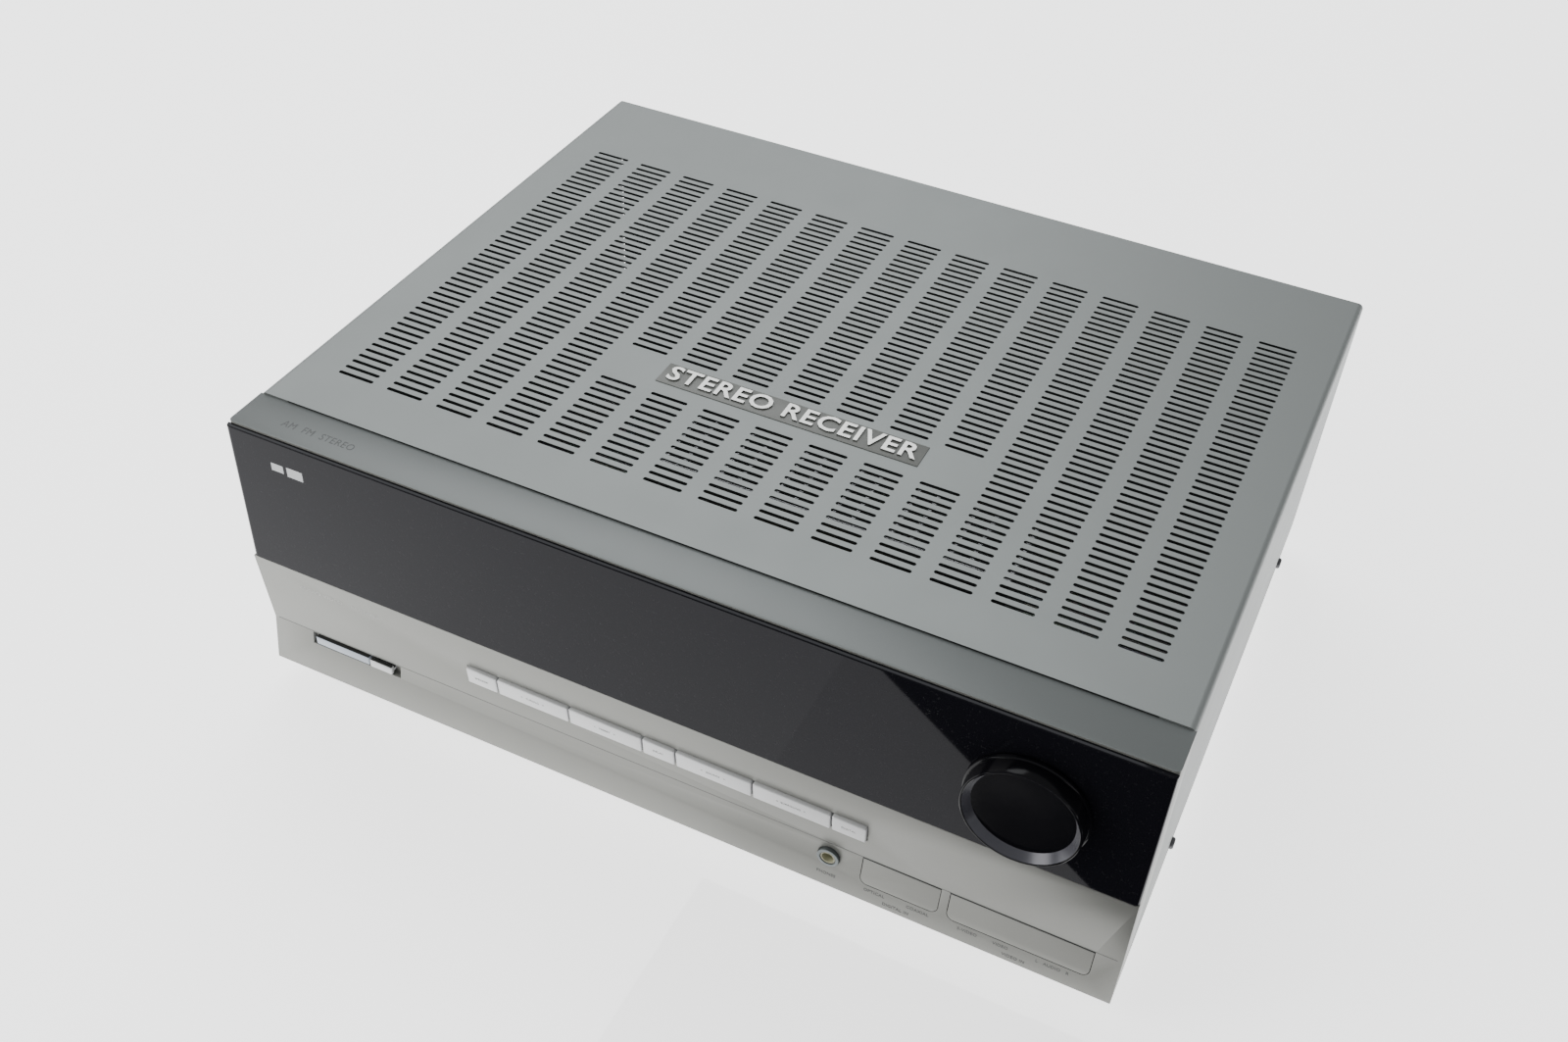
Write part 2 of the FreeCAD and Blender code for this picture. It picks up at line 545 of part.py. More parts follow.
def make_rear_panel():
    panel = box("panel_sheet", (f"-{INSIDE} + skin", f"{INSIDE} - skin"), (REAR_INNER, BACK),
                (FLOOR, f"{TOP} - skin - sheet_gap"))
    holes = []
    through = "3 * skin"
    start = f"{REAR_INNER} - skin"
    for i, (x, z) in enumerate(audio_places() + video_places() + coax_places()):
        holes.append(rod(f"jack_hole{i}", "jack_radius + jack_hole_gap", through, (x, start, z), "Y"))
    for i, (x, z) in enumerate(svideo_places()):
        holes.append(rod(f"svideo_hole{i}", "socket_radius + socket_gap", through, (x, start, z), "Y"))
    span = (start, f"{BACK} + skin")
    for i, (x, z) in enumerate(optical_places()):
        holes.append(box(f"optical_hole{i}",
                         (f"{x} - optical_half - hole_gap", f"{x} + optical_half + hole_gap"), span,
                         (f"{z} - optical_half - hole_gap", f"{z} + optical_half + hole_gap")))
    holes.append(rod("antenna_hole", "antenna_seat + hole_gap", through, (ANTENNA_X, start, F_AXIS), "Y"))
    half_x = "(clip_half_wide + clip_gap)"
    half_z = "(clip_half_tall + clip_gap)"
    holes.append(box("clip_hole", (f"{ANTENNA_X} - {half_x}", f"{ANTENNA_X} + {half_x}"), span,
                     (f"{CLIP_Z} - {half_z}", f"{CLIP_Z} + {half_z}")))
    for i, (x, z) in enumerate(post_places()):
        holes.append(rod(f"post_hole{i}", "post_radius + boss_skin + hole_gap", through, (x, start, z),
                         "Y"))
    inlet_low = f"{BASE} + inlet_up - inlet_tall / 2 - sheet_gap"
    inlet_high = f"{BASE} + inlet_up + inlet_tall / 2 + sheet_gap"
    holes.append(box("inlet_hole",
                     (f"{INLET_X} - inlet_wide / 2 - sheet_gap", f"{INLET_X} + inlet_wide / 2 + sheet_gap"),
                     span, (inlet_low, inlet_high)))
    for i, (x, z) in enumerate(rear_screw_places()):
        holes.append(rod(f"panel_hole{i}", "screw_radius", through, (x, start, z), "Y"))
    keep(cut("rear_panel", panel, holes), "rear_panel")


def rear_screw_places():
    """Screws that hold the rear panel's jack blocks and its lower edge."""
    middle = f"{TOP} - jack_top - jack_row / 2"
    low = f"{BASE} + post_low - post_screw_low"
    return [(f"{AUDIO_X} + jack_screw", middle), (f"{VIDEO_X} + video_step / 2", middle),
            (f"{VIDEO_X} - {VIDEO_COLUMNS - 1} * jack_pitch - jack_screw", middle),
            ("post_x + post_screw_side", low),
            (f"post_x - {POST_COLUMNS - 1} * post_pitch - post_screw_side", low)]


def phono_block(name, places):
    """Plastic bodies of phono jacks behind the panel, with the core inside each shell."""
    solids = []
    for i, (x, z) in enumerate(places):
        body = box(f"{name}_case{i}",
                   (f"{x} - jack_pitch / 2 + jack_space", f"{x} + jack_pitch / 2 - jack_space"),
                   (f"{REAR_INNER} - jack_block", REAR_INNER),
                   (f"{z} - jack_row / 2 + jack_space", f"{z} + jack_row / 2 - jack_space"))
        core = rod(f"{name}_core{i}", "jack_inner - shell_gap", "skin + jack_long - core_short",
                   (x, REAR_INNER, z), "Y")
        bore = rod(f"{name}_bore{i}", "jack_core", "jack_long + pit_extra",
                   (x, f"{BACK} + jack_long - core_short", z), "-Y")
        solids.append(cut(f"{name}_jack{i}", joined(f"{name}_solid{i}", [body, core]), [bore]))
    return solids


def make_rear_jacks():
    keep(group("rear_audio_jacks", phono_block("audio", audio_places())), "rear_audio_jacks")
    video = phono_block("video", video_places())
    for i, (x, z) in enumerate(svideo_places()):
        case = box(f"svideo_case{i}", (f"{x} - svideo_half", f"{x} + svideo_half"),
                   (f"{REAR_INNER} - jack_block", REAR_INNER),
                   (f"{z} - svideo_half", f"{z} + svideo_half"))
        shell = rod(f"svideo_shell{i}", "socket_radius", "skin + socket_proud", (x, REAR_INNER, z), "Y")
        recess = rod(f"svideo_recess{i}", "socket_bore", "socket_pit", (x, f"{BACK} + socket_proud", z),
                     "-Y")
        key = box(f"svideo_key{i}", (f"{x} - key_half", f"{x} + key_half"),
                  (f"{BACK} - key_deep", f"{BACK} + key_proud"), (f"{z} - key_low", f"{z} - key_high"))
        holder = cut(f"svideo_body{i}", joined(f"svideo_solid{i}", [case, shell]), [recess])
        base = rod(f"svideo_floor{i}", "socket_bore + shell_gap", "socket_floor",
                   (x, f"{BACK} - socket_floor_deep", z), "Y")
        video.append(joined(f"svideo_socket{i}", [holder, key, base]))
    keep(group("rear_video_jacks", video), "rear_video_jacks")
    digital = phono_block("coax", coax_places())
    for i, (x, z) in enumerate(optical_places()):
        digital.append(optical_socket(f"rear_optical{i}", x, z))
    keep(group("rear_digital_jacks", digital), "rear_digital_jacks")


def optical_socket(name, x, z):
    """A square optical socket whose mouth faces the back."""
    mouth = f"{BACK} + optical_proud"
    case = box(name + "_case", (f"{x} - optical_case", f"{x} + optical_case"),
               (f"{REAR_INNER} - jack_block", REAR_INNER),
               (f"{z} - optical_case", f"{z} + optical_case"))
    nose = box(name + "_nose", (f"{x} - optical_half", f"{x} + optical_half"), (REAR_INNER, mouth),
               (f"{z} - optical_half", f"{z} + optical_half"))
    pit = box(name + "_pit", (f"{x} - optical_pit", f"{x} + optical_pit"),
              (f"{mouth} - optical_deep", f"{mouth} + past"),
              (f"{z} - optical_pit", f"{z} + optical_pit"))
    return cut(name, joined(name + "_solid", [case, nose]), [pit])


def make_shells():
    """The metal shells of every phono jack, rear and front."""
    shells = []
    for i, (x, z) in enumerate(audio_places() + video_places() + coax_places()):
        tube = rod(f"shell{i}", "jack_radius", "skin + jack_long", (x, REAR_INNER, z), "Y")
        collar = rod(f"shell_collar{i}", "jack_radius + jack_hole_gap - collar_gap", "skin",
                     (x, REAR_INNER, z), "Y")
        outer = joined(f"shell_outer{i}", [tube, collar])
        inner = rod(f"shell_inner{i}", "jack_inner", "skin + jack_long + 2 * past",
                    (x, f"{REAR_INNER} - past", z), "Y")
        shells.append(cut(f"jack_shell{i}", outer, [inner]))
    for i, x in enumerate(front_jack_places()):
        outer = rod(f"front_shell{i}", "jack_radius", "jack_long", (x, BAY_BACK, BAY_MIDDLE), "-Y")
        inner = rod(f"front_shell_inner{i}", "jack_inner", "jack_long + 2 * past",
                    (x, f"{BAY_BACK} + past", BAY_MIDDLE), "-Y")
        shells.append(cut(f"front_jack_shell{i}", outer, [inner]))
    keep(group("rca_shells", shells), "rca_shells")


def make_antenna():
    barrel = rod("antenna_barrel", "antenna_radius", "jack_long + skin + antenna_step",
                 (ANTENNA_X, REAR_INNER, F_AXIS), "Y")
    seat = rod("antenna_seat", "antenna_seat", "skin + antenna_step", (ANTENNA_X, REAR_INNER, F_AXIS), "Y")
    bore = rod("antenna_bore", "antenna_bore", "antenna_deep",
               (ANTENNA_X, f"{BACK} + jack_long + antenna_step", F_AXIS), "-Y")
    coax = cut("antenna_socket", joined("antenna_solid", [barrel, seat]), [bore])
    case = box("clip_case", (f"{ANTENNA_X} - clip_half_wide", f"{ANTENNA_X} + clip_half_wide"),
               (f"{REAR_INNER} - clip_deep", f"{BACK} + clip_deep"),
               (f"{CLIP_Z} - clip_half_tall", f"{CLIP_Z} + clip_half_tall"))
    slits = []
    levers = []
    for i, side in enumerate((-1, 1)):
        x = f"({ANTENNA_X} + {side} * clip_shift)"
        slits.append(box(f"clip_slit{i}", (f"{x} - slit_half", f"{x} + slit_half"),
                         (f"{BACK} + slit_floor", f"{BACK} + clip_deep + past"),
                         (f"{CLIP_Z} - slit_low", f"{CLIP_Z} - slit_high")))
        levers.append(box(f"clip_lever{i}", (f"{x} - lever_half", f"{x} + lever_half"),
                          (f"{BACK} + clip_deep", f"{BACK} + lever_out"),
                          (f"{CLIP_Z} - lever_low", f"{CLIP_Z} + lever_high")))
    clips = joined("clip_terminals", [cut("clip_body", case, slits)] + levers)
    keep(group("antenna_terminals", [coax, clips]), "antenna_terminals")
    keep(box("tuner_module", (f"{ANTENNA_X} - tuner_half", f"{ANTENNA_X} + tuner_half"),
             (f"{REAR_INNER} - clip_deep - tuner_deep", f"{REAR_INNER} - clip_deep"),
             (f"{CLIP_Z} - tuner_low", f"{TOP} - module_drop")), "tuner_module")


def make_speaker_terminals():
    low = f"{BASE} + post_low - plate_rim"
    high = f"{BASE} + post_low + post_row + plate_rim"
    x = (f"post_x - {POST_COLUMNS - 1} * post_pitch - plate_side", "post_x + plate_side")
    plate = box("terminal_plate", x, (BACK, f"{BACK} + plate_thick"), (low, high))
    bosses = [rod(f"boss{i}", "post_radius + boss_skin", "skin + boss_long",
                  (px, f"{REAR_INNER} - boss_long", pz), "Y")
              for i, (px, pz) in enumerate(post_places())]
    holes = [rod(f"boss_hole{i}", "post_radius", "plate_thick + skin + boss_long + 2 * past",
                 (px, f"{REAR_INNER} - boss_long - past", pz), "Y")
             for i, (px, pz) in enumerate(post_places())]
    keep(cut("speaker_terminal_block", joined("terminal_body", [plate] + bosses), holes),
         "speaker_terminal_block")
    posts = []
    post_start = f"{REAR_INNER} - post_inside"
    post_end = f"{BACK} + rear_proud - cap_end - post_end_gap"
    for i, (px, pz) in enumerate(post_places()):
        stud = rod(f"stud{i}", "post_radius", f"{post_end} - ({post_start})", (px, post_start, pz), "Y")
        bore = rod(f"stud_bore{i}", "wire_hole", "3 * post_radius",
                   (px, f"{BACK} + plate_thick + wire_hole", f"{pz} - 1.5 * post_radius"))
        posts.append(cut(f"post{i}", stud, [bore]))
    keep(group("speaker_posts", posts), "speaker_posts")
    labels = [f"{channel}_{sign}_cap"
              for channel in ("front_left", "front_right", "centre", "surround_left", "surround_right")
              for sign in ("minus", "plus")]
    for label, (px, pz) in zip(labels, post_places()):
        keep(make_cap(label, px, pz), label)


def make_cap(label, x, z):
    """A fluted screw cap of a speaker post, closed at its end."""
    profile = [
        ("post_radius + shaft_gap", "0"), ("cap_radius - cap_neck", "0"),
        ("cap_radius - cap_neck", "cap_skirt"), ("cap_radius", "cap_step"),
        ("cap_radius", "cap_long - cap_round"), ("cap_radius - cap_round", "cap_long"), ("0", "cap_long"),
        ("0", "cap_long - cap_end"), ("post_radius + shaft_gap", "cap_long - cap_end"),
    ]
    body = turned("blank_" + label, profile, ("0", "0", "0"))
    flutes = []
    for i in range(CAP_FLUTES):
        angle = 360 * i // CAP_FLUTES
        at = (f"(cap_radius + flute_out) * cos({angle} deg)",
              f"(cap_radius + flute_out) * sin({angle} deg)", "flute_start")
        flutes.append(rod(f"flute_{label}{i}", "cap_flute", "cap_long", at))
    cap = cut("cap_" + label, body, flutes)
    return place(cap, (x, f"{BACK} + rear_proud - cap_long", z), "Y")


def make_inlet():
    middle = f"{BASE} + inlet_up"
    rim = box("inlet_rim", (f"{INLET_X} - flange_wide / 2", f"{INLET_X} + flange_wide / 2"),
              (BACK, f"{BACK} + flange_thick"),
              (f"{middle} - flange_tall / 2", f"{middle} + flange_tall / 2"))
    case = box("inlet_case", (f"{INLET_X} - inlet_wide / 2", f"{INLET_X} + inlet_wide / 2"),
               (f"{BACK} - inlet_deep - inlet_floor", f"{BACK} + weld"),
               (f"{middle} - inlet_tall / 2", f"{middle} + inlet_tall / 2"))
    half_x = "(inlet_wide / 2 - inlet_wall)"
    half_z = "(inlet_tall / 2 - inlet_wall)"
    hollow = box("inlet_hollow", (f"{INLET_X} - {half_x}", f"{INLET_X} + {half_x}"),
                 (f"{BACK} - inlet_deep", f"{BACK} + flange_thick + past"),
                 (f"{middle} - {half_z}", f"{middle} + {half_z}"))
    blades = []
    for i, side in enumerate((-1, 0, 1)):
        x = f"({INLET_X} + {side} * blade_shift)"
        z = f"({middle} + {-1 if side else 1} * blade_drop)"
        blades.append(box(f"inlet_blade{i}", (f"{x} - blade_half_wide", f"{x} + blade_half_wide"),
                          (f"{BACK} - inlet_deep - root", f"{BACK} - blade_recess"),
                          (f"{z} - blade_half_tall", f"{z} + blade_half_tall")))
    holes = [
        rod(f"inlet_screw_hole{i}", "screw_radius + sheet_gap", "flange_thick + 2 * past",
            (f"{INLET_X} + {side} * (flange_wide / 2 - ear)", f"{BACK} - past", middle), "Y")
        for i, side in enumerate((-1, 1))
    ]
    shell = cut("inlet_shell", joined("inlet_solid", [rim, case]), [hollow] + holes)
    keep(joined("mains_inlet", [shell] + blades), "mains_inlet")


def screw(name, at, along):
    """A pan-head screw whose head rests at the given point and whose shank runs along."""
    profile = [
        ("0", "-head_thick"), ("screw_head - head_edge", "-head_thick"),
        ("screw_head", "-head_thick + head_round"), ("screw_head", "0"), ("screw_radius", "0"),
        ("screw_radius", "screw_long"), ("0", "screw_long"),
    ]
    return turned(name, profile, at, along)


def make_case_screws():
    screws = []
    for i, (side, share) in enumerate(screw_places()):
        at = (f"{side} * {HALF}", f"{SEAM} + {share}", f"{BASE} + flange / 2")
        screws.append(screw(f"side_screw{i}", at, "-X" if side > 0 else "X"))
    for i, (x, z) in enumerate(rear_screw_places()):
        screws.append(screw(f"rear_screw{i}", (x, BACK, z), "-Y"))
    for i, x in enumerate(facia_screw_places()):
        screws.append(screw(f"facia_screw{i}", (x, f"{SEAM} + skin", f"{BASE} + facia_screw_up"), "-Y"))
    keep(group("case_screws", screws), "case_screws")


# ---------------------------------------------------------------- the front

def facia_screw_places():
    """Screws that hold the facia to the subpanel, along its lower edge."""
    return [f"{share} * case_width" for share in (-0.46, -0.15, 0.12, 0.46)]


BAY_BACK = f"({SEAM} - jack_plate - board - bay_gap)"
BAY_MIDDLE = f"({CREASE_Z} - door_tall / 2 - bay_offset)"
DOORS = (("digital", DIGITAL_LEFT, DIGITAL_RIGHT), ("av", AV_LEFT, AV_RIGHT))


def front_jack_places():
    """The three phono jacks behind the larger door."""
    return [f"{AV_RIGHT} - front_jack_side - {i} * front_jack_pitch" for i in range(3)]


def make_subpanel():
    low = f"{FLOOR}"
    high = f"{TOP} - skin - sheet_gap"
    panel = box("subpanel_sheet", (f"-{INSIDE} + skin", f"{INSIDE} - skin"), (SEAM, f"{SEAM} + skin"),
                (low, high))
    y = (f"{SEAM} - skin", f"{SEAM} + 2 * skin")
    z = (f"{TOP} - subpanel_deep", f"{TOP} - subpanel_rim")
    windows = [
        box("subpanel_window0", (f"-{HALF} + subpanel_rim", "-subpanel_post_left"), y, z),
        box("subpanel_window1", ("-subpanel_post_right", f"{HALF} - subpanel_rim"), y, z),
    ]
    holes = [rod(f"subpanel_hole{i}", "screw_radius + sheet_gap", "3 * skin",
                 (x, f"{SEAM} - skin", f"{BASE} + facia_screw_up"), "Y")
             for i, x in enumerate(facia_screw_places())]
    keep(cut("front_subpanel", panel, windows + holes), "front_subpanel")


def facia_outline(wall):
    """The facia's section in Y and Z, drawn in by a wall on its closed sides."""
    back = SEAM if wall == "0" else f"{SEAM} + past"
    return [
        (back, f"{TOP} - trim_drop - {wall}"),
        (f"{TRIM} + {wall}", f"{TOP} - trim_drop - {wall}"),
        (f"{TRIM} + {wall}", f"{WINDOW_LOW} - {wall} * ledge_share"),
        (f"{FACE} + {wall}", f"{WINDOW_LOW} - {wall} * ledge_share"),
        (f"{CREASE_Y} + {wall}", CREASE_Z),
        (f"{CREASE_Y} - lip_reach + {wall}", f"{BASE} + {wall}"),
        (back, f"{BASE} + {wall}"),
    ]


def facia_hollow(name):
    """The space inside the facia's walls, before anything stands in it."""
    return prism(name, facia_outline("facia_wall"), f"-{HALF} + facia_wall", f"{HALF} - facia_wall")


def facia_fences():
    """Blocks of the facia left standing inside: walls around the light, the socket and the screws."""
    fences = []
    fences.append(box("power_fence", (f"{POWER_LEFT} - bay_wall", f"{POWER_RIGHT} + bay_wall"),
                      (FACE, f"{CREASE_Y} + power_deep + power_floor"),
                      (f"{CREASE_Z} - power_tall - bay_wall", f"{CREASE_Z} + bay_wall")))
    fences.append(rod("phones_fence", "bush_radius + phones_wall",
                      f"{PHONES_CASE_FRONT} - rest_gap - {FACE}",
                      (PHONES_X, FACE, PHONES_Z), "Y"))
    for i, x in enumerate(facia_screw_places()):
        at = (x, FACE, f"{BASE} + facia_screw_up")
        fences.append(rod(f"facia_boss{i}", "screw_radius + boss_wall", f"{SEAM} - {FACE}", at, "Y"))
    return fences


def button_window():
    """The long opening that the row of buttons stands in."""
    half = f"({row_half()} - button_gap / 2 + slide_gap)"
    low = f"{TOP} - button_drop - button_tall / 2 - slide_gap"
    high = f"{TOP} - button_drop + button_tall / 2 + slide_gap"
    return box("button_window", (f"-{half}", half), (f"{FACE} - 5 * past", SEAM), (low, high))


def row_half():
    """Half the width of the row of buttons."""
    return "(1.5 * small_pitch + 2 * large_pitch)"


def make_facia():
    outer = prism("facia_outer", facia_outline("0"), f"-{HALF}", HALF)
    soften(outer, lambda e: runs(e, 2)
           and e.CenterOfMass.y < size("foot_height") - size("seam_ahead") - size("corner_reach"), "corner")
    void = cut("facia_void", facia_hollow("facia_inside"), facia_fences())
    tools = [void, button_window()]
    display = ("-tube_width / 2 - display_side", "tube_width / 2 + display_side")
    tools.append(box("display_opening", display, (f"{FACE} - past", f"{TRIM} + facia_wall + past"),
                     (f"{BASE} + tube_low + display_low",
                      f"{BASE} + tube_low + tube_height + display_high")))
    tools.append(rod("bush_opening", "bush_radius + bush_hole_gap", "facia_depth",
                     (KNOB_X, FACE, f"{TOP} - knob_drop"), "Y"))
    tools.append(rod("phones_opening", "bush_radius + bush_hole_gap", "facia_depth + 9 * past",
                     (PHONES_X, f"{FACE} - 6 * past", PHONES_Z), "Y"))
    tools.append(rod("phones_seat", "phones_ring + bush_hole_gap", "seat_reach",
                     (PHONES_X, f"{PHONES_SEAT} - seat_reach", PHONES_Z), "Y"))
    for name, left, right in DOORS:
        tools.append(door_way(f"{name}_doorway", left, right))
        pin_span = f"{right} - {left} + 2 * pin_long + 2 * hole_gap"
        tools.append(rod(f"{name}_pin_hole", "pin_radius + shaft_gap", pin_span,
                         (f"{left} - pin_long - hole_gap", HINGE_Y, HINGE_Z), "X"))
    tools.append(box("power_recess", (POWER_LEFT, POWER_RIGHT),
                     (f"{FACE} - past", f"{CREASE_Y} + power_deep"),
                     (f"{CREASE_Z} - power_tall", CREASE_Z)))
    tools.append(box("lens_opening",
                     (f"{LENS_LEFT} + lens_step - sheet_gap", f"{LENS_RIGHT} - lens_step + sheet_gap"),
                     (f"{FACE} - past", SEAM),
                     (f"{LENS_TOP} - lens_tall + lens_step - sheet_gap",
                      f"{LENS_TOP} - lens_step + sheet_gap")))
    tools.append(box("standby_opening", (f"{STANDBY_LEFT} - slide_gap", f"{STANDBY_RIGHT} + slide_gap"),
                     (f"{FACE} - past", SEAM), (f"{NECK_LOW} - slide_gap", f"{NECK_TOP} + slide_gap")))
    for i, x in enumerate(facia_screw_places()):
        tools.append(rod(f"boss_bore{i}", "screw_radius", "screw_long + boss_spare",
                         (x, SEAM, f"{BASE} + facia_screw_up"), "-Y"))
    keep(cut("facia", outer, tools), "facia")


def door_way(name, left, right):
    """The space that a door closes, as deep as its jacks."""
    return box(name, (f"{left} - door_gap", f"{right} + door_gap"), (f"{FACE} - past", BAY_BACK),
               (f"{CREASE_Z} - door_tall - door_gap", f"{CREASE_Z} + door_gap"))


def jack_housing(name, left, right):
    """The box behind a door: walls, a back that carries the sockets and a rib that stops the door."""
    low = f"({CREASE_Z} - door_tall)"
    case = box(f"{name}_case", (f"{left} - door_gap - bay_wall", f"{right} + door_gap + bay_wall"),
               (FACE, f"{BAY_BACK} + jack_plate"),
               (f"{low} - door_gap - bay_floor", f"{CREASE_Z} + door_gap + bay_wall"))
    walls = cut(f"{name}_walls", case, [door_way(f"{name}_bay", left, right)])
    rib_y = f"({lower_face(low)} + door_thick + rest_gap)"
    rib = box(f"{name}_stop", (f"{left} - door_gap - rib_step", f"{right} + door_gap + rib_step"),
              (rib_y, f"{rib_y} + rib_thick"), (f"{low} - door_gap - rib_step", f"{low} + stop_rib"))
    return trimmed(f"{name}_housing", joined(f"{name}_tray", [walls, rib]), facia_hollow(f"{name}_inside"))


def make_window():
    """The glossy plate over the display, with a hole for the encoder's bush and nut."""
    body = start_body("window_plate")
    corners = [(f"-{HALF}", WINDOW_LOW), (HALF, WINDOW_LOW), (HALF, f"{TOP} - window_top"),
               (f"-{HALF}", f"{TOP} - window_top")]
    padded(body, outline(body, "XZ_Plane", corners), "window_proud")
    bind(body, "Placement.Base.y", f"{FACE} + window_proud / 2")
    soften(body, lambda e: runs(e, 2) and e.CenterOfMass.y < 0, "corner")
    soften(body, lambda e: e.BoundBox.YMax < -size("window_proud") / 2 + 1e-3, "edge")
    hole = rod("window_hole", "nut_radius + nut_space", "window_proud + 2 * past",
               (KNOB_X, f"{FACE} - past", f"{TOP} - knob_drop"), "Y")
    keep(cut("display_window", body, [hole]), "display_window")


def make_badge():
    body = start_body("badge_plate")
    half_x = "badge_width / 2"
    half_y = "badge_height / 2"
    corners = [(f"-{half_x}", f"-{half_y}"), (half_x, f"-{half_y}"), (half_x, half_y),
               (f"-{half_x}", half_y)]
    padded(body, outline(body, "XY_Plane", corners), "badge_thick", midplane=False)
    soften(body, lambda e: runs(e, 2), "badge_corner")
    place(body, ("0", f"{SEAM} + badge_back + {half_y}", TOP))
    keep(body, "name_badge")


def make_display():
    low = f"{BASE} + tube_low"
    keep(box("display_tube", ("-tube_width / 2", "tube_width / 2"),
             (f"{BOARD_FRONT} - tube_thick", BOARD_FRONT),
             (f"{low} + tube_lift", f"{low} + tube_lift + tube_height")), "display_tube")
    board = box("front_board_sheet", (f"front_board_side - {HALF}", f"{HALF} - front_board_side"),
                (BOARD_FRONT, f"{BOARD_FRONT} + board"),
                (f"{CREASE_Z} + bay_wall + front_board_space", f"{TOP} - front_board_drop"))
    standby = box("standby_board", (POWER_LEFT, f"{POWER_RIGHT} + standby_board_side"),
                  (BOARD_FRONT, f"{BOARD_FRONT} + board"),
                  (f"{BASE} + standby_board_low", f"{CREASE_Z} + bay_wall + standby_board_space"))
    keep(group("front_boards", [board, standby]), "front_board")


# the row of buttons: name and whether it is a large one, from left to right
BUTTONS = [
    ("speaker_button", False), ("tuning_button", True), ("preset_button", True), ("delay_button", False),
    ("source_button", True), ("surround_button", True), ("digital_button", False),
]


def button_spans():
    """Each button's name with the formulas of its left and right ends."""
    spans = []
    small = 0
    large = 0
    for name, is_large in BUTTONS:
        left = f"(-{row_half()} + {small} * small_pitch + {large} * large_pitch)"
        small += 0 if is_large else 1
        large += 1 if is_large else 0
        right = f"(-{row_half()} + {small} * small_pitch + {large} * large_pitch)"
        spans.append((name, f"({left} + button_gap / 2)", f"({right} - button_gap / 2)"))
    return spans


SWITCH_TIP = f"({BOARD_FRONT} - switch_tall - stem)"


def make_buttons():
    top = f"({TOP} - button_drop + button_tall / 2)"
    low = f"({TOP} - button_drop - button_tall / 2)"

    def inner(z):
        return f"{upper_face(z)} + facia_wall + rest_gap"

    for name, left, right in button_spans():
        middle = f"({left} + {right}) / 2"
        section = [
            (f"{upper_face(top)} - button_proud", top), (f"{upper_face(low)} - button_proud", low),
            (inner(low), low), (inner(f"({low} - lip)"), f"{low} - lip"),
            (f"{inner(low)} + lip_thick", f"{low} - lip"),
            (f"{inner(low)} + lip_thick", f"{top} + lip"), (inner(f"({top} + lip)"), f"{top} + lip"),
            (inner(top), top),
        ]
        cap = prism(name + "_cap", section, left, right)
        soften(cap, lambda e: e.BoundBox.YMax < size_y_front() and runs(e, 0), "button_round")
        mid_z = f"{TOP} - button_drop"
        arm = box(name + "_arm", (f"{middle} - plunger / 2", f"{middle} + plunger / 2"),
                  (f"{inner(low)}", f"{SWITCH_TIP} - button_travel - press_gap"),
                  (f"{mid_z} - plunger / 2", f"{mid_z} + plunger / 2"))
        keep(joined(name, [cap, arm]), name)


def size_y_front():
    """A depth just behind the slanted fronts of the buttons."""
    return -size("seam_ahead") - size("facia_depth") + size("front_zone")


def make_switches():
    spots = [(f"({left} + {right}) / 2", f"{TOP} - button_drop") for _, left, right in button_spans()]
    spots.append((STANDBY_MIDDLE, f"{STANDBY_TOP} - standby_tall / 2"))
    switches = []
    for i, (x, z) in enumerate(spots):
        case = box(f"switch_case{i}", (f"{x} - switch_size / 2", f"{x} + switch_size / 2"),
                   (f"{BOARD_FRONT} - switch_tall", BOARD_FRONT),
                   (f"{z} - switch_size / 2", f"{z} + switch_size / 2"))
        stem = rod(f"switch_stem{i}", "stem_radius", "stem + root",
                   (x, f"{BOARD_FRONT} - switch_tall + root", z), "-Y")
        switches.append(joined(f"switch{i}", [case, stem]))
    keep(group("tact_switches", switches), "tact_switches")


def make_power():
    """The standby button and the light strip beside it, in their recess."""
    floor = f"({CREASE_Y} + power_deep)"
    face = box("lens_face", (LENS_LEFT, LENS_RIGHT), (f"{floor} - lens_thick", floor),
               (f"{LENS_TOP} - lens_tall", LENS_TOP))
    stalk = box("lens_stalk", (f"{LENS_LEFT} + lens_step", f"{LENS_RIGHT} - lens_step"),
                (floor, f"{BOARD_FRONT} - rest_gap"),
                (f"{LENS_TOP} - lens_tall + lens_step", f"{LENS_TOP} - lens_step"))
    keep(joined("power_indicator_lens", [face, stalk]), "power_indicator_lens")
    tongue_front = f"({floor} + power_floor + rest_gap)"
    tongue_back = f"({tongue_front} + tongue_thick)"
    cap = box("standby_face", (STANDBY_LEFT, STANDBY_RIGHT),
              (f"{CREASE_Y} - standby_proud", f"{floor} - button_travel - press_spare"),
              (STANDBY_LOW, STANDBY_TOP))
    neck = box("standby_neck", (STANDBY_LEFT, STANDBY_RIGHT),
               (f"{floor} - button_travel - 2 * press_spare", tongue_back),
               (NECK_LOW, NECK_TOP))
    tongue = box("standby_tongue", (f"{STANDBY_LEFT} - lip", f"{STANDBY_RIGHT} + lip"),
                 (tongue_front, tongue_back), (NECK_LOW, NECK_TOP))
    middle = STANDBY_MIDDLE
    mid_z = f"({STANDBY_TOP} - standby_tall / 2)"
    arm = box("standby_arm", (f"{middle} - plunger / 2", f"{middle} + plunger / 2"),
              (tongue_front, f"{SWITCH_TIP} - button_travel - press_gap"),
              (f"{mid_z} - plunger / 2", f"{mid_z} + plunger / 2"))
    keep(joined("standby_button", [cap, neck, tongue, arm]), "standby_button")


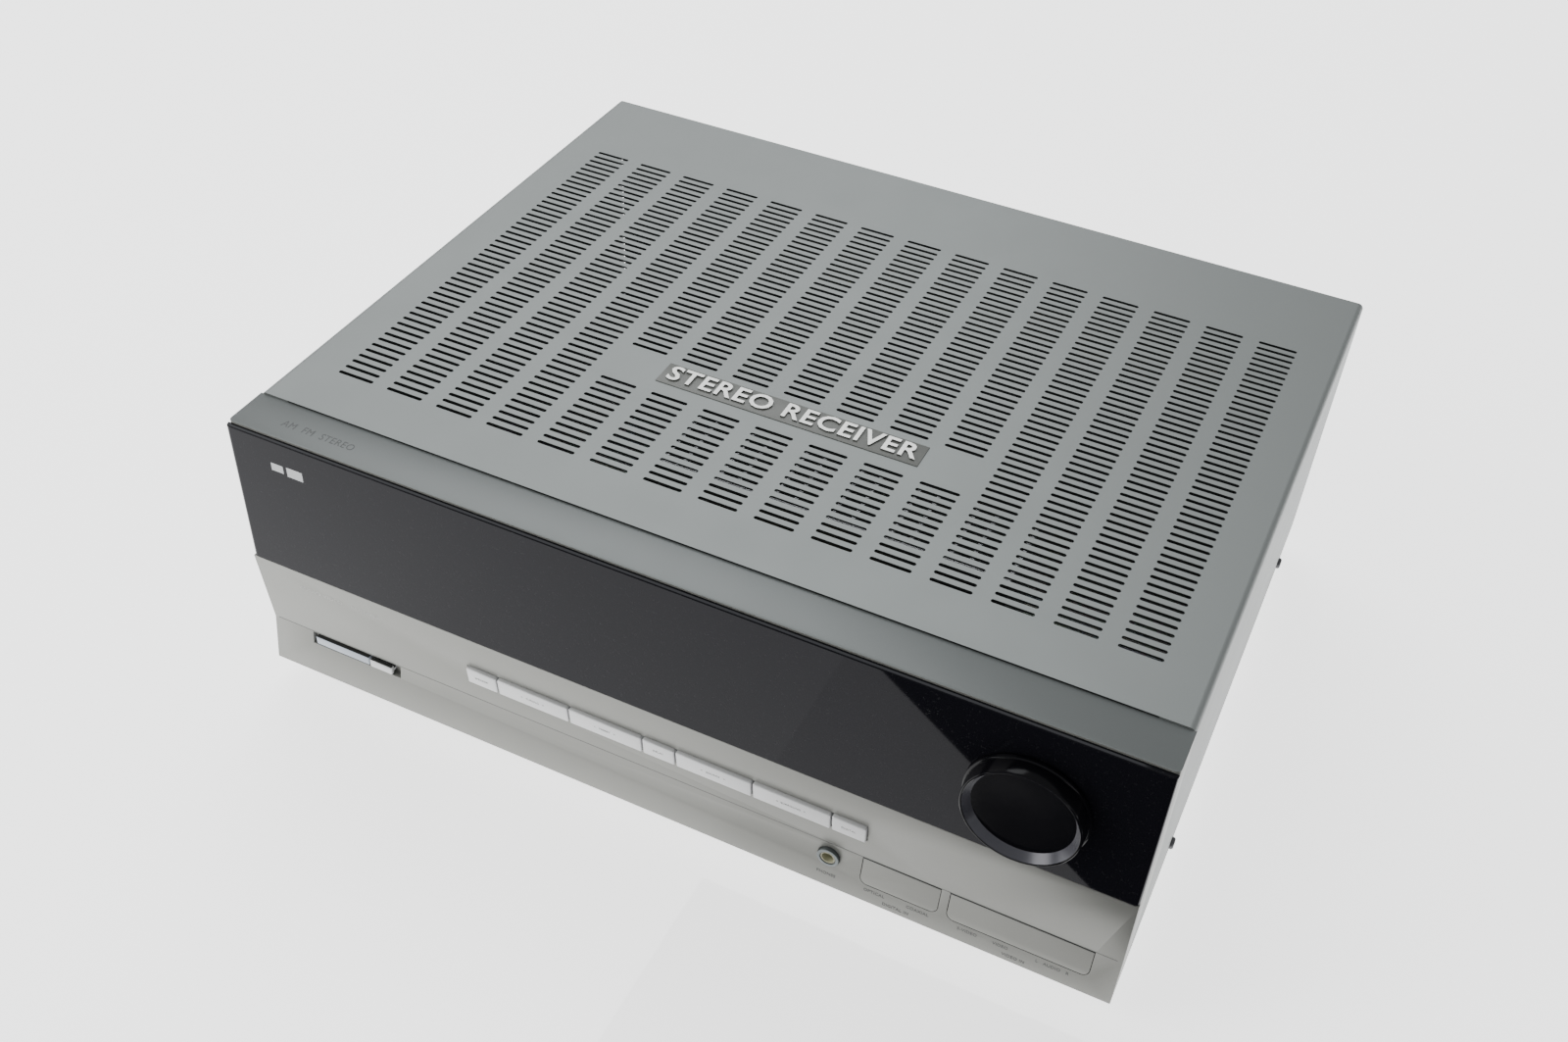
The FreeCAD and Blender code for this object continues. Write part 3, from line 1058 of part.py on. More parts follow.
def make_knob():
    """The volume knob with its dished face, its encoder, shaft and nut."""
    z = f"{TOP} - knob_drop"
    height = "(knob_proud - knob_gap)"
    floor = f"({height} - dish_deep)"
    profile = [
        ("shaft_radius", "hub_gap"), ("hub_radius", "hub_gap"),
        ("hub_radius", f"{floor} - knob_skin - knob_slope"),
        ("knob_face - knob_skin", f"{floor} - knob_skin"),
        ("knob_base - knob_wall", "knob_inner"), ("knob_base - knob_wall", "0"), ("knob_base", "0"),
        ("knob_base - knob_taper", "skirt_low"), ("knob_rim + skirt_step", "skirt_top"),
        ("knob_rim", height), ("knob_dish", height), ("knob_face", floor), ("0", f"{floor} - dish_sag"),
        ("0", f"{floor} - shaft_seat"), ("shaft_radius", f"{floor} - shaft_seat"),
    ]
    knob = turned("volume_knob", profile, (KNOB_X, f"{FACE} - knob_gap", z), "-Y")
    soften(knob, lambda e: ring_at(e, size("knob_proud") - size("knob_gap")), "knob_round")
    keep(knob, "volume_knob")
    body_front = f"({BOARD_FRONT} - encoder_deep)"
    case = box("encoder_case", (f"{KNOB_X} - encoder_size / 2", f"{KNOB_X} + encoder_size / 2"),
               (body_front, BOARD_FRONT),
               (f"{z} - encoder_size / 2", f"{z} + encoder_size / 2"))
    bush = rod("encoder_bush", "bush_radius", f"{body_front} - ({FACE} + rest_gap) + weld",
               (KNOB_X, f"{body_front} + weld", z), "-Y")
    bore = rod("encoder_bore", "shaft_radius + shaft_gap", "encoder_bore_long",
               (KNOB_X, f"{BOARD_FRONT} - encoder_floor", z), "-Y")
    keep(cut("encoder_body", joined("encoder_solid", [case, bush]), [bore]), "encoder_body")
    shaft_start = f"({BOARD_FRONT} - encoder_floor - ring_step)"
    shaft_end = f"({FACE} - knob_proud + dish_deep + shaft_seat)"
    keep(rod("encoder_shaft", "shaft_radius", f"{shaft_start} - {shaft_end}", (KNOB_X, shaft_start, z),
             "-Y"), "encoder_shaft")
    nut = doc.addObject("Part::Prism", "nut_blank")
    nut.Polygon = 6
    bind(nut, "Circumradius", "nut_radius")
    bind(nut, "Height", "nut_thick")
    place(nut, (KNOB_X, TRIM, z), "-Y")
    nut_bore = rod("nut_bore", "bush_radius", "nut_thick + 2 * past", (KNOB_X, f"{TRIM} + past", z), "-Y")
    keep(cut("encoder_nut", nut, [nut_bore]), "encoder_nut")


PHONES_Z = f"({TOP} - phones_drop)"
PHONES_SEAT = f"({lower_face(PHONES_Z)} + phones_ledge)"
PHONES_CASE_FRONT = f"({SEAM} - phones_back - phones_case_long)"


def make_phones():
    """The headphone socket, its ring nut and the long board that carries the front sockets."""
    front = f"({lower_face(PHONES_Z)} - phones_proud)"
    barrel = rod("phones_barrel", "bush_radius", f"{PHONES_CASE_FRONT} - {front}",
                 (PHONES_X, f"{front} + ring_step", PHONES_Z), "Y")
    case = box("phones_case", (f"{PHONES_X} - phones_case / 2", f"{PHONES_X} + phones_case / 2"),
               (PHONES_CASE_FRONT, f"{SEAM} - phones_back"),
               (f"{PHONES_Z} - phones_case / 2", f"{PHONES_Z} + phones_case / 2"))
    bore = rod("phones_bore", "phones_bore", f"{PHONES_CASE_FRONT} - {front} + 10 * past",
               (PHONES_X, f"{front} - past", PHONES_Z), "Y")
    keep(cut("headphone_jack", joined("phones_solid", [barrel, case]), [bore]), "headphone_jack")
    ring = rod("phones_ring", "phones_ring", f"{PHONES_SEAT} - {front}", (PHONES_X, front, PHONES_Z), "Y")
    ring_bore = rod("phones_ring_bore", "bush_radius", f"{PHONES_SEAT} - {front}",
                    (PHONES_X, f"{front} + ring_step", PHONES_Z), "Y")
    mouth = rod("phones_mouth", "phones_bore + mouth_step", "mouth_deep",
                (PHONES_X, f"{front} - past", PHONES_Z), "Y")
    keep(cut("headphone_nut", ring, [ring_bore, mouth]), "headphone_nut")


HINGE_Y = f"({CREASE_Y} + door_thick / 2)"
HINGE_Z = f"({CREASE_Z} - door_thick / 2)"


def make_doors():
    """The two flaps: a slanted panel with a barrel along its top and a pin at each end."""
    low = f"({CREASE_Z} - door_tall)"
    for name, left, right in DOORS:
        section = [
            (CREASE_Y, f"({HINGE_Z})"), (lower_face(low), low), (f"{lower_face(low)} + door_thick", low),
            (f"{CREASE_Y} + door_thick", f"({HINGE_Z})"),
        ]
        panel = prism(name + "_panel", section, left, right)
        soften(panel, lambda e: runs(e, 1)
               and e.CenterOfMass.z < size("foot_height") + size("corner_zone"), "door_corner")
        barrel = rod(name + "_barrel", "door_thick / 2", f"{right} - {left}", (left, HINGE_Y, HINGE_Z), "X")
        pins = rod(name + "_pins", "pin_radius", f"{right} - {left} + 2 * pin_long",
                   (f"{left} - pin_long", HINGE_Y, HINGE_Z), "X")
        keep(joined(name + "_input_door", [panel, barrel, pins]), name + "_input_door")


def make_front_jacks():
    """The sockets behind the doors in their housings, and their board."""
    low = f"{CREASE_Z} - door_tall"
    board_y = (f"{BAY_BACK} + jack_plate", f"{BAY_BACK} + jack_plate + board")
    keep(box("front_jack_sheet", (f"{DIGITAL_LEFT} - jack_board_side", f"{AV_RIGHT} + jack_board_side"),
             board_y, (f"{low} + jack_board_low", f"{CREASE_Z} + bay_wall")), "front_jack_board")
    case = jack_housing("av", AV_LEFT, AV_RIGHT)
    start = f"{BAY_BACK} + weld"
    cores = [rod(f"av_core{i}", "jack_inner - shell_gap", "jack_long", (x, start, BAY_MIDDLE), "-Y")
             for i, x in enumerate(front_jack_places())]
    svideo_x = f"{AV_LEFT} + front_svideo_side"
    cores.append(rod("av_svideo", "socket_radius", "front_svideo_long", (svideo_x, start, BAY_MIDDLE),
                     "-Y"))
    pits = [rod(f"av_pit{i}", "jack_core", "jack_long + past", (x, f"{BAY_BACK} + past", BAY_MIDDLE),
                "-Y")
            for i, x in enumerate(front_jack_places())]
    pits.append(rod("av_svideo_pit", "socket_bore", "front_svideo_deep",
                    (svideo_x, f"{BAY_BACK} + past", BAY_MIDDLE), "-Y"))
    keep(cut("front_av_jacks", joined("av_solid", [case] + cores), pits), "front_av_jacks")
    optical_x = f"({DIGITAL_LEFT} + front_optical_side)"
    coax_x = f"({DIGITAL_RIGHT} - front_coax_side)"
    plate = jack_housing("digital", DIGITAL_LEFT, DIGITAL_RIGHT)
    nose = box("digital_nose", (f"{optical_x} - optical_half", f"{optical_x} + optical_half"),
               (f"{BAY_BACK} - nose_long", f"{BAY_BACK} + root"),
               (f"{BAY_MIDDLE} - optical_half", f"{BAY_MIDDLE} + optical_half"))
    pit = box("digital_pit", (f"{optical_x} - optical_pit", f"{optical_x} + optical_pit"),
              (f"{BAY_BACK} - nose_long - past", f"{BAY_BACK} + past"),
              (f"{BAY_MIDDLE} - optical_pit", f"{BAY_MIDDLE} + optical_pit"))
    coax = rod("digital_core", "jack_radius", "jack_long", (coax_x, start, BAY_MIDDLE), "-Y")
    coax_pit = rod("digital_coax_pit", "jack_core", "jack_long + past",
                   (coax_x, f"{BAY_BACK} + past", BAY_MIDDLE), "-Y")
    keep(cut("front_digital_jacks", joined("digital_solid", [plate, nose, coax]), [pit, coax_pit]),
         "front_digital_jacks")


# ---------------------------------------------------------------- the inside

def make_supply():
    """The mains transformer: a stacked core with a coil around its middle leg, bolted to the floor."""
    x = (f"{SUPPLY_X} - core_width / 2", f"{SUPPLY_X} + core_width / 2")
    y = (f"{SEAM} + supply_back - core_deep / 2", f"{SEAM} + supply_back + core_deep / 2")
    z = (FLOOR, f"{FLOOR} + core_tall")
    stack = box("core_stack", x, y, z)
    through = (f"{y[0]} - past", f"{y[1]} + past")
    inner_z = (f"{FLOOR} + core_yoke", f"{FLOOR} + core_tall - core_yoke")
    gaps = [
        box("core_gap0", (f"{x[0]} + core_yoke", f"{SUPPLY_X} - core_leg / 2"), through, inner_z),
        box("core_gap1", (f"{SUPPLY_X} + core_leg / 2", f"{x[1]} - core_yoke"), through, inner_z),
    ]
    corner_x = [f"{x[0]} + bolt_inset", f"{x[1]} - bolt_inset"]
    corner_z = [f"{FLOOR} + bolt_inset", f"{z[1]} - bolt_inset"]
    spots = [(cx, cz) for cx in corner_x for cz in corner_z]
    holes = [rod(f"core_hole{i}", "bolt_radius", "core_deep + 4 * past", (cx, f"{y[0]} - 2 * past", cz),
                 "Y")
             for i, (cx, cz) in enumerate(spots)]
    keep(cut("transformer_core", stack, gaps + holes), "transformer_core")
    coil = box("coil_block", (f"{x[0]} + core_yoke + coil_gap", f"{x[1]} - core_yoke - coil_gap"),
               (f"{y[0]} - coil_bulge", f"{y[1]} + coil_bulge"),
               (f"{inner_z[0]} + coil_gap", f"{inner_z[1]} - coil_gap"))
    leg = box("coil_leg", (f"{SUPPLY_X} - core_leg / 2 - coil_gap",
                           f"{SUPPLY_X} + core_leg / 2 + coil_gap"),
              (f"{y[0]} - coil_gap", f"{y[1]} + coil_gap"), (FLOOR, z[1]))
    keep(cut("transformer_coil", coil, [leg]), "transformer_coil")
    bolts = []
    for i, (cx, cz) in enumerate(spots):
        start = f"{y[0]} - bolt_head_thick"
        shank = rod(f"bolt_shank{i}", "bolt_radius", "core_deep + 2 * bolt_head_thick", (cx, start, cz),
                    "Y")
        head = rod(f"bolt_head{i}", "bolt_head", "bolt_head_thick", (cx, start, cz), "Y")
        nut = rod(f"bolt_nut{i}", "bolt_head", "bolt_head_thick", (cx, y[1], cz), "Y")
        bolts.append(joined(f"bolt{i}", [shank, head, nut]))
    keep(group("transformer_bolts", bolts), "transformer_bolts")


def make_amplifier():
    """The heat sink with its transistors, the amplifier board and the filter capacitors."""
    left = SINK_LEFT
    right = SINK_RIGHT
    y_front = f"({SEAM} + sink_back - sink_base)"
    sink = start_body("heat_sink")
    web = [(left, "0"), (right, "0"), (right, "sink_base"), (left, "sink_base")]
    padded(sink, outline(sink, "XY_Plane", web, "web"), "sink_tall", midplane=False)
    fin = [(left, "sink_base / 2"), (f"{left} + fin_thick", "sink_base / 2"),
           (f"{left} + fin_thick", "sink_base + sink_fin"), (left, "sink_base + sink_fin")]
    fin_pad = padded(sink, outline(sink, "XY_Plane", fin, "fin"), "sink_tall", midplane=False)
    doc.recompute()
    comb = sink.newObject("PartDesign::LinearPattern", "heat_sink_comb")
    comb.Originals = [fin_pad]
    comb.Direction = (sink.Origin.OriginFeatures[0], [""])
    bind(comb, "Length", "sink_width - fin_thick")
    comb.Occurrences = SINK_FINS
    sink.Tip = comb
    place(sink, ("0", y_front, f"{FLOOR} + board_lift + board"))
    keep(sink, "heat_sink")
    low = f"{FLOOR} + board_lift + board + package_low"
    packages = []
    for i in range(PACKAGES):
        x = f"{left} + package_side + {i} * (sink_width - package_spare) / {PACKAGES - 1}"
        packages.append(box(f"package{i}", (x, f"{x} + package_wide"),
                            (f"{y_front} - package_thick", y_front),
                            (low, f"{low} + package_tall")))
    keep(group("output_transistors", packages), "output_transistors")
    keep(box("amplifier_sheet", (left, right),
             (f"{SEAM} + amplifier_front", f"{y_front} + sink_base + sink_fin"),
             (f"{FLOOR} + board_lift", f"{FLOOR} + board_lift + board")), "amplifier_board")
    cans = [
        rod(f"can{i}", "can_radius", "can_tall",
            (f"{SINK_RIGHT} - can_radius - can_side - {i} * (2 * can_radius + can_space)",
             f"{SEAM} + can_front + can_radius", f"{FLOOR} + board_lift + board"))
        for i in range(2)
    ]
    keep(group("filter_capacitors", cans), "filter_capacitors")
    keep(box("signal_sheet",
             (f"{VIDEO_X} - {VIDEO_COLUMNS} * jack_pitch", f"{REAR_DIGITAL_X} + signal_side"),
             (f"{REAR_INNER} - jack_block - board", f"{REAR_INNER} - jack_block"),
             (f"{TOP} - jack_top - signal_rows * jack_row", f"{TOP} - module_drop")), "signal_board")


# ---------------------------------------------------------------- build, check and write

def build():
    make_cover()
    make_base()
    make_feet()
    make_rear_panel()
    make_rear_jacks()
    make_shells()
    make_antenna()
    make_speaker_terminals()
    make_inlet()
    make_case_screws()
    make_subpanel()
    make_facia()
    make_window()
    make_badge()
    make_display()
    make_buttons()
    make_switches()
    make_power()
    make_knob()
    make_phones()
    make_doors()
    make_front_jacks()
    make_supply()
    make_amplifier()
    doc.recompute()


def check():
    """Stop when an object of the document failed or a piece has no sound shape."""
    for item in doc.Objects:
        if {"Invalid", "Error"} & set(item.State):
            raise RuntimeError(f"{item.Name} failed: {item.State}")
    for piece in pieces:
        if piece.Shape.isNull() or not piece.Shape.isValid():
            raise RuntimeError(f"{piece.Label} has no valid shape")


def write():
    """Write one STEP file for each piece."""
    os.makedirs("parts", exist_ok=True)
    for piece in pieces:
        piece.Shape.exportStep(f"parts/{piece.Label}.step")
    print(len(pieces), "pieces written")


build()
check()
write()
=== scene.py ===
# %% [markdown]
# # An audio-video receiver and its finishes
#
# The receiver's shape, sizes and joints come from a packed CAD model. This script loads that
# model as a fixed frame, gives every part a material, and swaps the parts that the eye lands on
# for cleaner meshes: the volume knob, the buttons, the doors, the badge and the sockets. Every
# piece rides on the body that carries it, so the same script holds at any pose.

# %% Load the packed model
import json
import math

import bmesh
import bpy
from mathutils import Matrix, Vector


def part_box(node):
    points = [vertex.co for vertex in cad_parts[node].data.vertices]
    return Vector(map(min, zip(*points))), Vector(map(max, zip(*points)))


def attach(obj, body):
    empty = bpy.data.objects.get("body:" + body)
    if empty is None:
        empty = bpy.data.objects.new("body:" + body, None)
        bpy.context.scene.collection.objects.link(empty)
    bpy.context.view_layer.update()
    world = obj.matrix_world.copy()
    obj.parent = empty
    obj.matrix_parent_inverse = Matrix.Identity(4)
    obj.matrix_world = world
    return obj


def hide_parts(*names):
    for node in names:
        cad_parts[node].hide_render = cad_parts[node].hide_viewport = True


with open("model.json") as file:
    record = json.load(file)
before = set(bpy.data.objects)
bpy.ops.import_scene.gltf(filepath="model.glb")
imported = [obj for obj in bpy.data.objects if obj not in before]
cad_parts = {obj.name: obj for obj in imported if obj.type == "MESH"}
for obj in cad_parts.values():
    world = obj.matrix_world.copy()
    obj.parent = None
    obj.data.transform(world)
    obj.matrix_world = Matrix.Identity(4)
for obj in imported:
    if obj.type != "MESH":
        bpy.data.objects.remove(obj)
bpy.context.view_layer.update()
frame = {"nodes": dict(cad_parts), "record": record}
nodes = frame["nodes"]

# %% [markdown]
# ## Shader maths that reads like maths
#
# A material graph is arithmetic on sockets. Wiring each Math node by hand hides the formula, so a
# small class wraps one socket and overloads the operators. `1 - dust * 0.4` then adds its Math
# nodes by itself. Colours never go through Math nodes, because those turn a colour grey: they
# go through a Mix node, which has a function of its own.

# %% A socket that does arithmetic
class Reading:
    """One output of a node, which can be used in a formula."""

    def __init__(self, finish, socket):
        self.finish = finish
        self.socket = socket

    def combine(self, operation, first, second=0.0):
        """Adds the Math node that one operator stands for."""
        return self.finish.node("ShaderNodeMath", {"operation": operation}, {0: first, 1: second})

    def __add__(self, other):
        return self.combine("ADD", self, other)

    def __sub__(self, other):
        return self.combine("SUBTRACT", self, other)

    def __mul__(self, other):
        return self.combine("MULTIPLY", self, other)

    def __rsub__(self, other):
        return self.combine("SUBTRACT", other, self)

    def __gt__(self, other):
        return self.combine("GREATER_THAN", self, other)

    def __lt__(self, other):
        return self.combine("LESS_THAN", self, other)

    __radd__ = __add__
    __rmul__ = __mul__


print("Reading:", Reading.__doc__)

# %% A finish under construction
class Finish:
    """A material: its Principled shader and one method that adds any other node."""

    def __init__(self, name, color, roughness, metallic=0.0, **constants):
        self.material = bpy.data.materials.new(name)
        self.material.use_nodes = True
        self.tree = self.material.node_tree
        self.shader = self.tree.nodes["Principled BSDF"]
        self.color = (*color, 1.0)
        self.set("Base Color", self.color)
        self.set("Roughness", roughness)
        self.set("Metallic", metallic)
        for socket, amount in constants.items():
            self.set(socket.replace("_", " "), amount)
        self.place = self.node("ShaderNodeTexCoord", out="Object")
        self.material.diffuse_color = self.color

    def set(self, socket, amount):
        """Gives a socket of the shader a constant, or links a reading to it."""
        self.fill(self.shader.inputs[socket], amount)

    def fill(self, socket, amount):
        """Gives any socket a constant, or links a reading to it."""
        if isinstance(amount, Reading):
            self.tree.links.new(amount.socket, socket)
        else:
            socket.default_value = amount

    def node(self, kind, settings=None, values=None, out=0):
        """Adds a node: its settings first, then the values or links of its inputs."""
        made = self.tree.nodes.new(kind)
        for key, setting in (settings or {}).items():
            setattr(made, key, setting)
        for key, amount in (values or {}).items():
            self.fill(made.inputs[key], amount)
        return Reading(self, made.outputs[out])

    def noise(self, scale, detail=3.0, stretch=(1, 1, 1)):
        """Cloudy noise on the object's own coordinates, in cycles to a metre."""
        spot = self.node("ShaderNodeMapping", None, {"Vector": self.place, "Scale": stretch})
        settings = {"noise_dimensions": "3D"}
        return self.node("ShaderNodeTexNoise", settings, {"Vector": spot, "Scale": scale, "Detail": detail})

    def axis(self, name):
        """One coordinate of the surface point, in metres."""
        return self.node("ShaderNodeSeparateXYZ", None, {"Vector": self.place}, out=name)

    def mix(self, factor, first, second):
        """One colour laid over another."""
        settings = {"data_type": "RGBA"}
        return self.node("ShaderNodeMix", settings, {0: factor, 6: first, 7: second}, out=2)

    def speckle(self, amount, other, scale=1400.0):
        """Breaks the base colour up with fine noise towards another colour."""
        grains = self.noise(scale, 2.0) * amount
        self.set("Base Color", self.mix(grains, self.color, (*other, 1.0)))
        return self

    def rough(self, base, swing, scale=60.0):
        """Lets the gloss vary slowly over the surface, as handled paint and plastic do."""
        self.set("Roughness", self.noise(scale, 3.0) * swing + (base - swing / 2))
        return self

    def bump(self, height, strength, distance):
        """Raises the surface by a reading."""
        values = {"Height": height, "Strength": strength, "Distance": distance}
        self.set("Normal", self.node("ShaderNodeBump", None, values))
        return self


print("Finish:", Finish.__doc__)

# %% [markdown]
# ## Paint
#
# The cover is sheet steel under a metallic grey paint, and the facia is a plastic moulding under a
# lighter silver one. Metallic paint could be a metal with scratches, but it is really a pigment
# with flakes under a clear binder. So both are partly metallic, with a fine grain in the colour and
# in the height that only shows close up.

# %% Cover and facia paint
SKIN_TOP = 0.00004
SLOT_FIELD = 0.205
SLOT_SHADE = (0.020, 0.023, 0.023, 1.0)


def cover_paint():
    """The cover's grey, with painted shade on the walls of the slots and on the sheet's inner face under
    them.
    """
    finish = Finish("cover_paint", (0.17, 0.183, 0.178), 0.42, 0.35)
    paint = finish.mix(finish.noise(2600.0, 2.0) * 0.35, finish.color, (0.26, 0.275, 0.268, 1.0))
    across = finish.axis("X")
    below_top = finish.axis("Z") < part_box("top_cover")[1].z - SKIN_TOP
    in_field = across * across < SLOT_FIELD * SLOT_FIELD
    # Painted shade: below the top skin, inside the slot field, the colour goes dark to stand in for the
    # shade in the slots and the case.
    finish.set("Base Color", finish.mix(below_top * in_field, paint, SLOT_SHADE))
    finish.rough(0.44, 0.08, 35.0)
    return finish.bump(finish.noise(3000.0, 2.0), 0.12, 0.0001)


def trim_shaded_paint():
    """The strip above the window: a darker copy of the silver paint, as painted shade."""
    finish = Finish("trim_shaded_paint", (0.115, 0.125, 0.122), 0.4, 0.3)
    finish.speckle(0.3, (0.18, 0.192, 0.188), 2900.0)
    finish.rough(0.39, 0.06, 45.0)
    return finish.bump(finish.noise(3200.0, 2.0), 0.06, 0.00008)


def silver_paint():
    """The light metallic paint of the facia and the doors."""
    finish = Finish("silver_paint", (0.20, 0.202, 0.186), 0.36, 0.4)
    finish.speckle(0.3, (0.29, 0.29, 0.272), 3200.0)
    finish.rough(0.38, 0.06, 50.0)
    return finish.bump(finish.noise(3600.0, 2.0), 0.06, 0.00008)


print("paint for the cover, the trim and the facia")

# %% [markdown]
# ## Gloss black
#
# The window is tinted acrylic with a black back, so it shows little of its own: what the eye sees
# is the room in it. A plain low roughness gives that. Fine dust lifts the roughness in a few
# specks, which keeps it from looking like a hole.

# %% Window, knob and buttons
def window_black():
    """Tinted acrylic with a little dust on it."""
    finish = Finish("window_black", (0.004, 0.004, 0.0055), 0.04, Specular_IOR_Level=0.105)
    finish.set("Specular Tint", (0.95, 0.94, 1.0, 1.0))
    dust = finish.noise(900.0, 4.0) > 0.66
    finish.set("Roughness", dust * 0.10 + 0.035)
    finish.set("Base Color", finish.mix(dust * 0.25, finish.color, (0.03, 0.03, 0.032, 1)))
    return finish


def knob_black():
    """The gloss black of the knob's ring and floor."""
    finish = Finish("knob_black", (0.003, 0.003, 0.004), 0.12, Specular_IOR_Level=0.14)
    finish.rough(0.13, 0.04, 90.0)
    return finish.bump(finish.noise(2500.0, 2.0), 0.03, 0.00005)


def knob_wall():
    """The satin wall inside the knob's ring."""
    finish = Finish("knob_wall", (0.055, 0.055, 0.066), 0.26, 0.3)
    finish.speckle(0.25, (0.085, 0.085, 0.098), 2200.0)
    return finish.rough(0.26, 0.06, 120.0)


def button_silver():
    """The bright paint of the keys."""
    finish = Finish("button_silver", (0.54, 0.545, 0.55), 0.30, 0.25)
    finish.speckle(0.25, (0.70, 0.70, 0.69), 2600.0)
    return finish.rough(0.31, 0.06, 80.0)


def light_lens():
    """The frosted strip over the power light."""
    finish = Finish("light_lens", (0.36, 0.40, 0.46), 0.22, 0.0)
    finish.speckle(0.3, (0.46, 0.49, 0.54), 500.0)
    return finish.rough(0.24, 0.08, 150.0)


print("finishes for the window, the knob, the keys and the light")

# %% [markdown]
# ## Bare and plated metal
#
# Zinc-plated sheet has a soft spangle, plated shells are bright with faint turning lines, and the
# heat sink is drawn aluminium. Each gets its pattern from noise that is stretched along the way
# the metal was worked.

# %% Metals
def zinc_steel():
    """Zinc-plated sheet with its spangle."""
    finish = Finish("zinc_steel", (0.52, 0.53, 0.52), 0.36, 0.9)
    patches = finish.node("ShaderNodeTexVoronoi", None, {"Vector": finish.place, "Scale": 130.0},
                          out="Color")
    finish.set("Base Color", finish.mix(0.16, finish.color, patches))
    return finish.rough(0.38, 0.14, 90.0)


def nickel():
    """Plated shells with turning lines."""
    finish = Finish("nickel", (0.66, 0.64, 0.60), 0.2, 1.0)
    lines = finish.noise(260.0, 2.0, (1, 12, 1))
    finish.set("Roughness", lines * 0.16 + 0.14)
    return finish.bump(lines, 0.06, 0.0001)


def sink_aluminium():
    """Aluminium drawn along its fins."""
    finish = Finish("sink_aluminium", (0.50, 0.50, 0.51), 0.35, 0.95)
    drawn = finish.noise(240.0, 3.0, (1, 1, 0.02))
    finish.set("Roughness", drawn * 0.25 + 0.25)
    return finish.bump(drawn, 0.15, 0.0002)


def encoder_metal():
    """The cast body and shaft of the encoder."""
    finish = Finish("encoder_metal", (0.42, 0.42, 0.42), 0.34, 0.9)
    finish.speckle(0.3, (0.55, 0.55, 0.54), 900.0)
    return finish.rough(0.36, 0.12, 200.0)


def screw_steel():
    """Blackened screws."""
    finish = Finish("screw_steel", (0.08, 0.08, 0.085), 0.34, 0.8)
    finish.speckle(0.4, (0.16, 0.16, 0.165), 1500.0)
    return finish.rough(0.36, 0.14, 300.0)


def ring_brass():
    """The plated ring nut of the headphone socket."""
    finish = Finish("ring_brass", (0.125, 0.14, 0.142), 0.32, 0.7)
    turned = finish.noise(900.0, 2.0, (1, 0.1, 1))
    finish.set("Roughness", turned * 0.2 + 0.22)
    return finish.bump(turned, 0.1, 0.0001)


def socket_dark():
    """The dark inside of the headphone socket."""
    finish = Finish("socket_dark", (0.035, 0.033, 0.024), 0.32, 0.3)
    finish.speckle(0.3, (0.09, 0.085, 0.06), 1200.0)
    return finish.rough(0.34, 0.1, 400.0)


def core_iron():
    """A core of stacked iron sheets."""
    finish = Finish("core_iron", (0.11, 0.105, 0.10), 0.55, 0.6)
    sheets = finish.node("ShaderNodeTexWave", {"bands_direction": "Y"},
                         {"Vector": finish.place, "Scale": 320.0})
    finish.set("Base Color", finish.mix(sheets * 0.5, finish.color, (0.03, 0.028, 0.026, 1)))
    return finish.bump(sheets, 0.5, 0.0003)


def badge_metal():
    """The bright faces of the badge's letters."""
    finish = Finish("badge_metal", (0.86, 0.86, 0.82), 0.35, 0.15)
    finish.speckle(0.2, (0.68, 0.68, 0.66), 2000.0)
    return finish.rough(0.27, 0.08, 300.0)


print("nine metals")

# %% [markdown]
# ## Plastics, boards and paper
#
# The rear carries black moulded plastic, the feet a softer black, and inside lie the boards with
# their copper tracks. Moulded plastic has a spark-eroded grain, so its bump is a fine noise.

# %% Plastics
def moulded(name, color, roughness, grain=0.15):
    """A grained moulded plastic."""
    finish = Finish(name, color, roughness)
    lighter = tuple(min(1.0, c * 1.5 + 0.01) for c in color)
    finish.speckle(0.3, lighter, 1800.0)
    finish.rough(roughness, 0.1, 70.0)
    return finish.bump(finish.noise(2200.0, 2.0), grain, 0.0001)


def rear_paint():
    """The black paint of the rear panel, with a coarse grain."""
    finish = Finish("rear_paint", (0.020, 0.020, 0.022), 0.5, 0.1)
    finish.speckle(0.5, (0.05, 0.05, 0.053), 1500.0)
    finish.rough(0.52, 0.1, 40.0)
    return finish.bump(finish.noise(1500.0, 3.0), 0.3, 0.0002)


def circuit_board():
    """A paper board with dark tracks."""
    finish = Finish("circuit_board", (0.30, 0.19, 0.075), 0.45)
    brick = {"Vector": finish.place, "Scale": 120.0}
    tracks = finish.node("ShaderNodeTexVoronoi", {"distance": "MANHATTAN"}, brick, out="Distance") > 0.42
    finish.set("Base Color", finish.mix(tracks * 0.6, finish.color, (0.05, 0.12, 0.04, 1)))
    return finish.bump(tracks, 0.2, 0.0001)


def tube_glass():
    """The display tube, with its fine mesh behind the glass."""
    finish = Finish("tube_glass", (0.03, 0.05, 0.048), 0.08)
    mesh = finish.node("ShaderNodeTexChecker", None, {"Vector": finish.place, "Scale": 400.0}, out=1)
    finish.set("Base Color", finish.mix(mesh * 0.5, finish.color, (0.08, 0.11, 0.1, 1)))
    return finish


def coil_tape():
    """Yellow tape wound round the coil."""
    finish = Finish("coil_tape", (0.58, 0.40, 0.06), 0.4)
    wraps = finish.node("ShaderNodeTexWave", {"bands_direction": "Z"},
                        {"Vector": finish.place, "Scale": 30.0})
    finish.set("Base Color", finish.mix(wraps * 0.3, finish.color, (0.35, 0.22, 0.03, 1)))
    return finish.bump(wraps, 0.3, 0.0003)


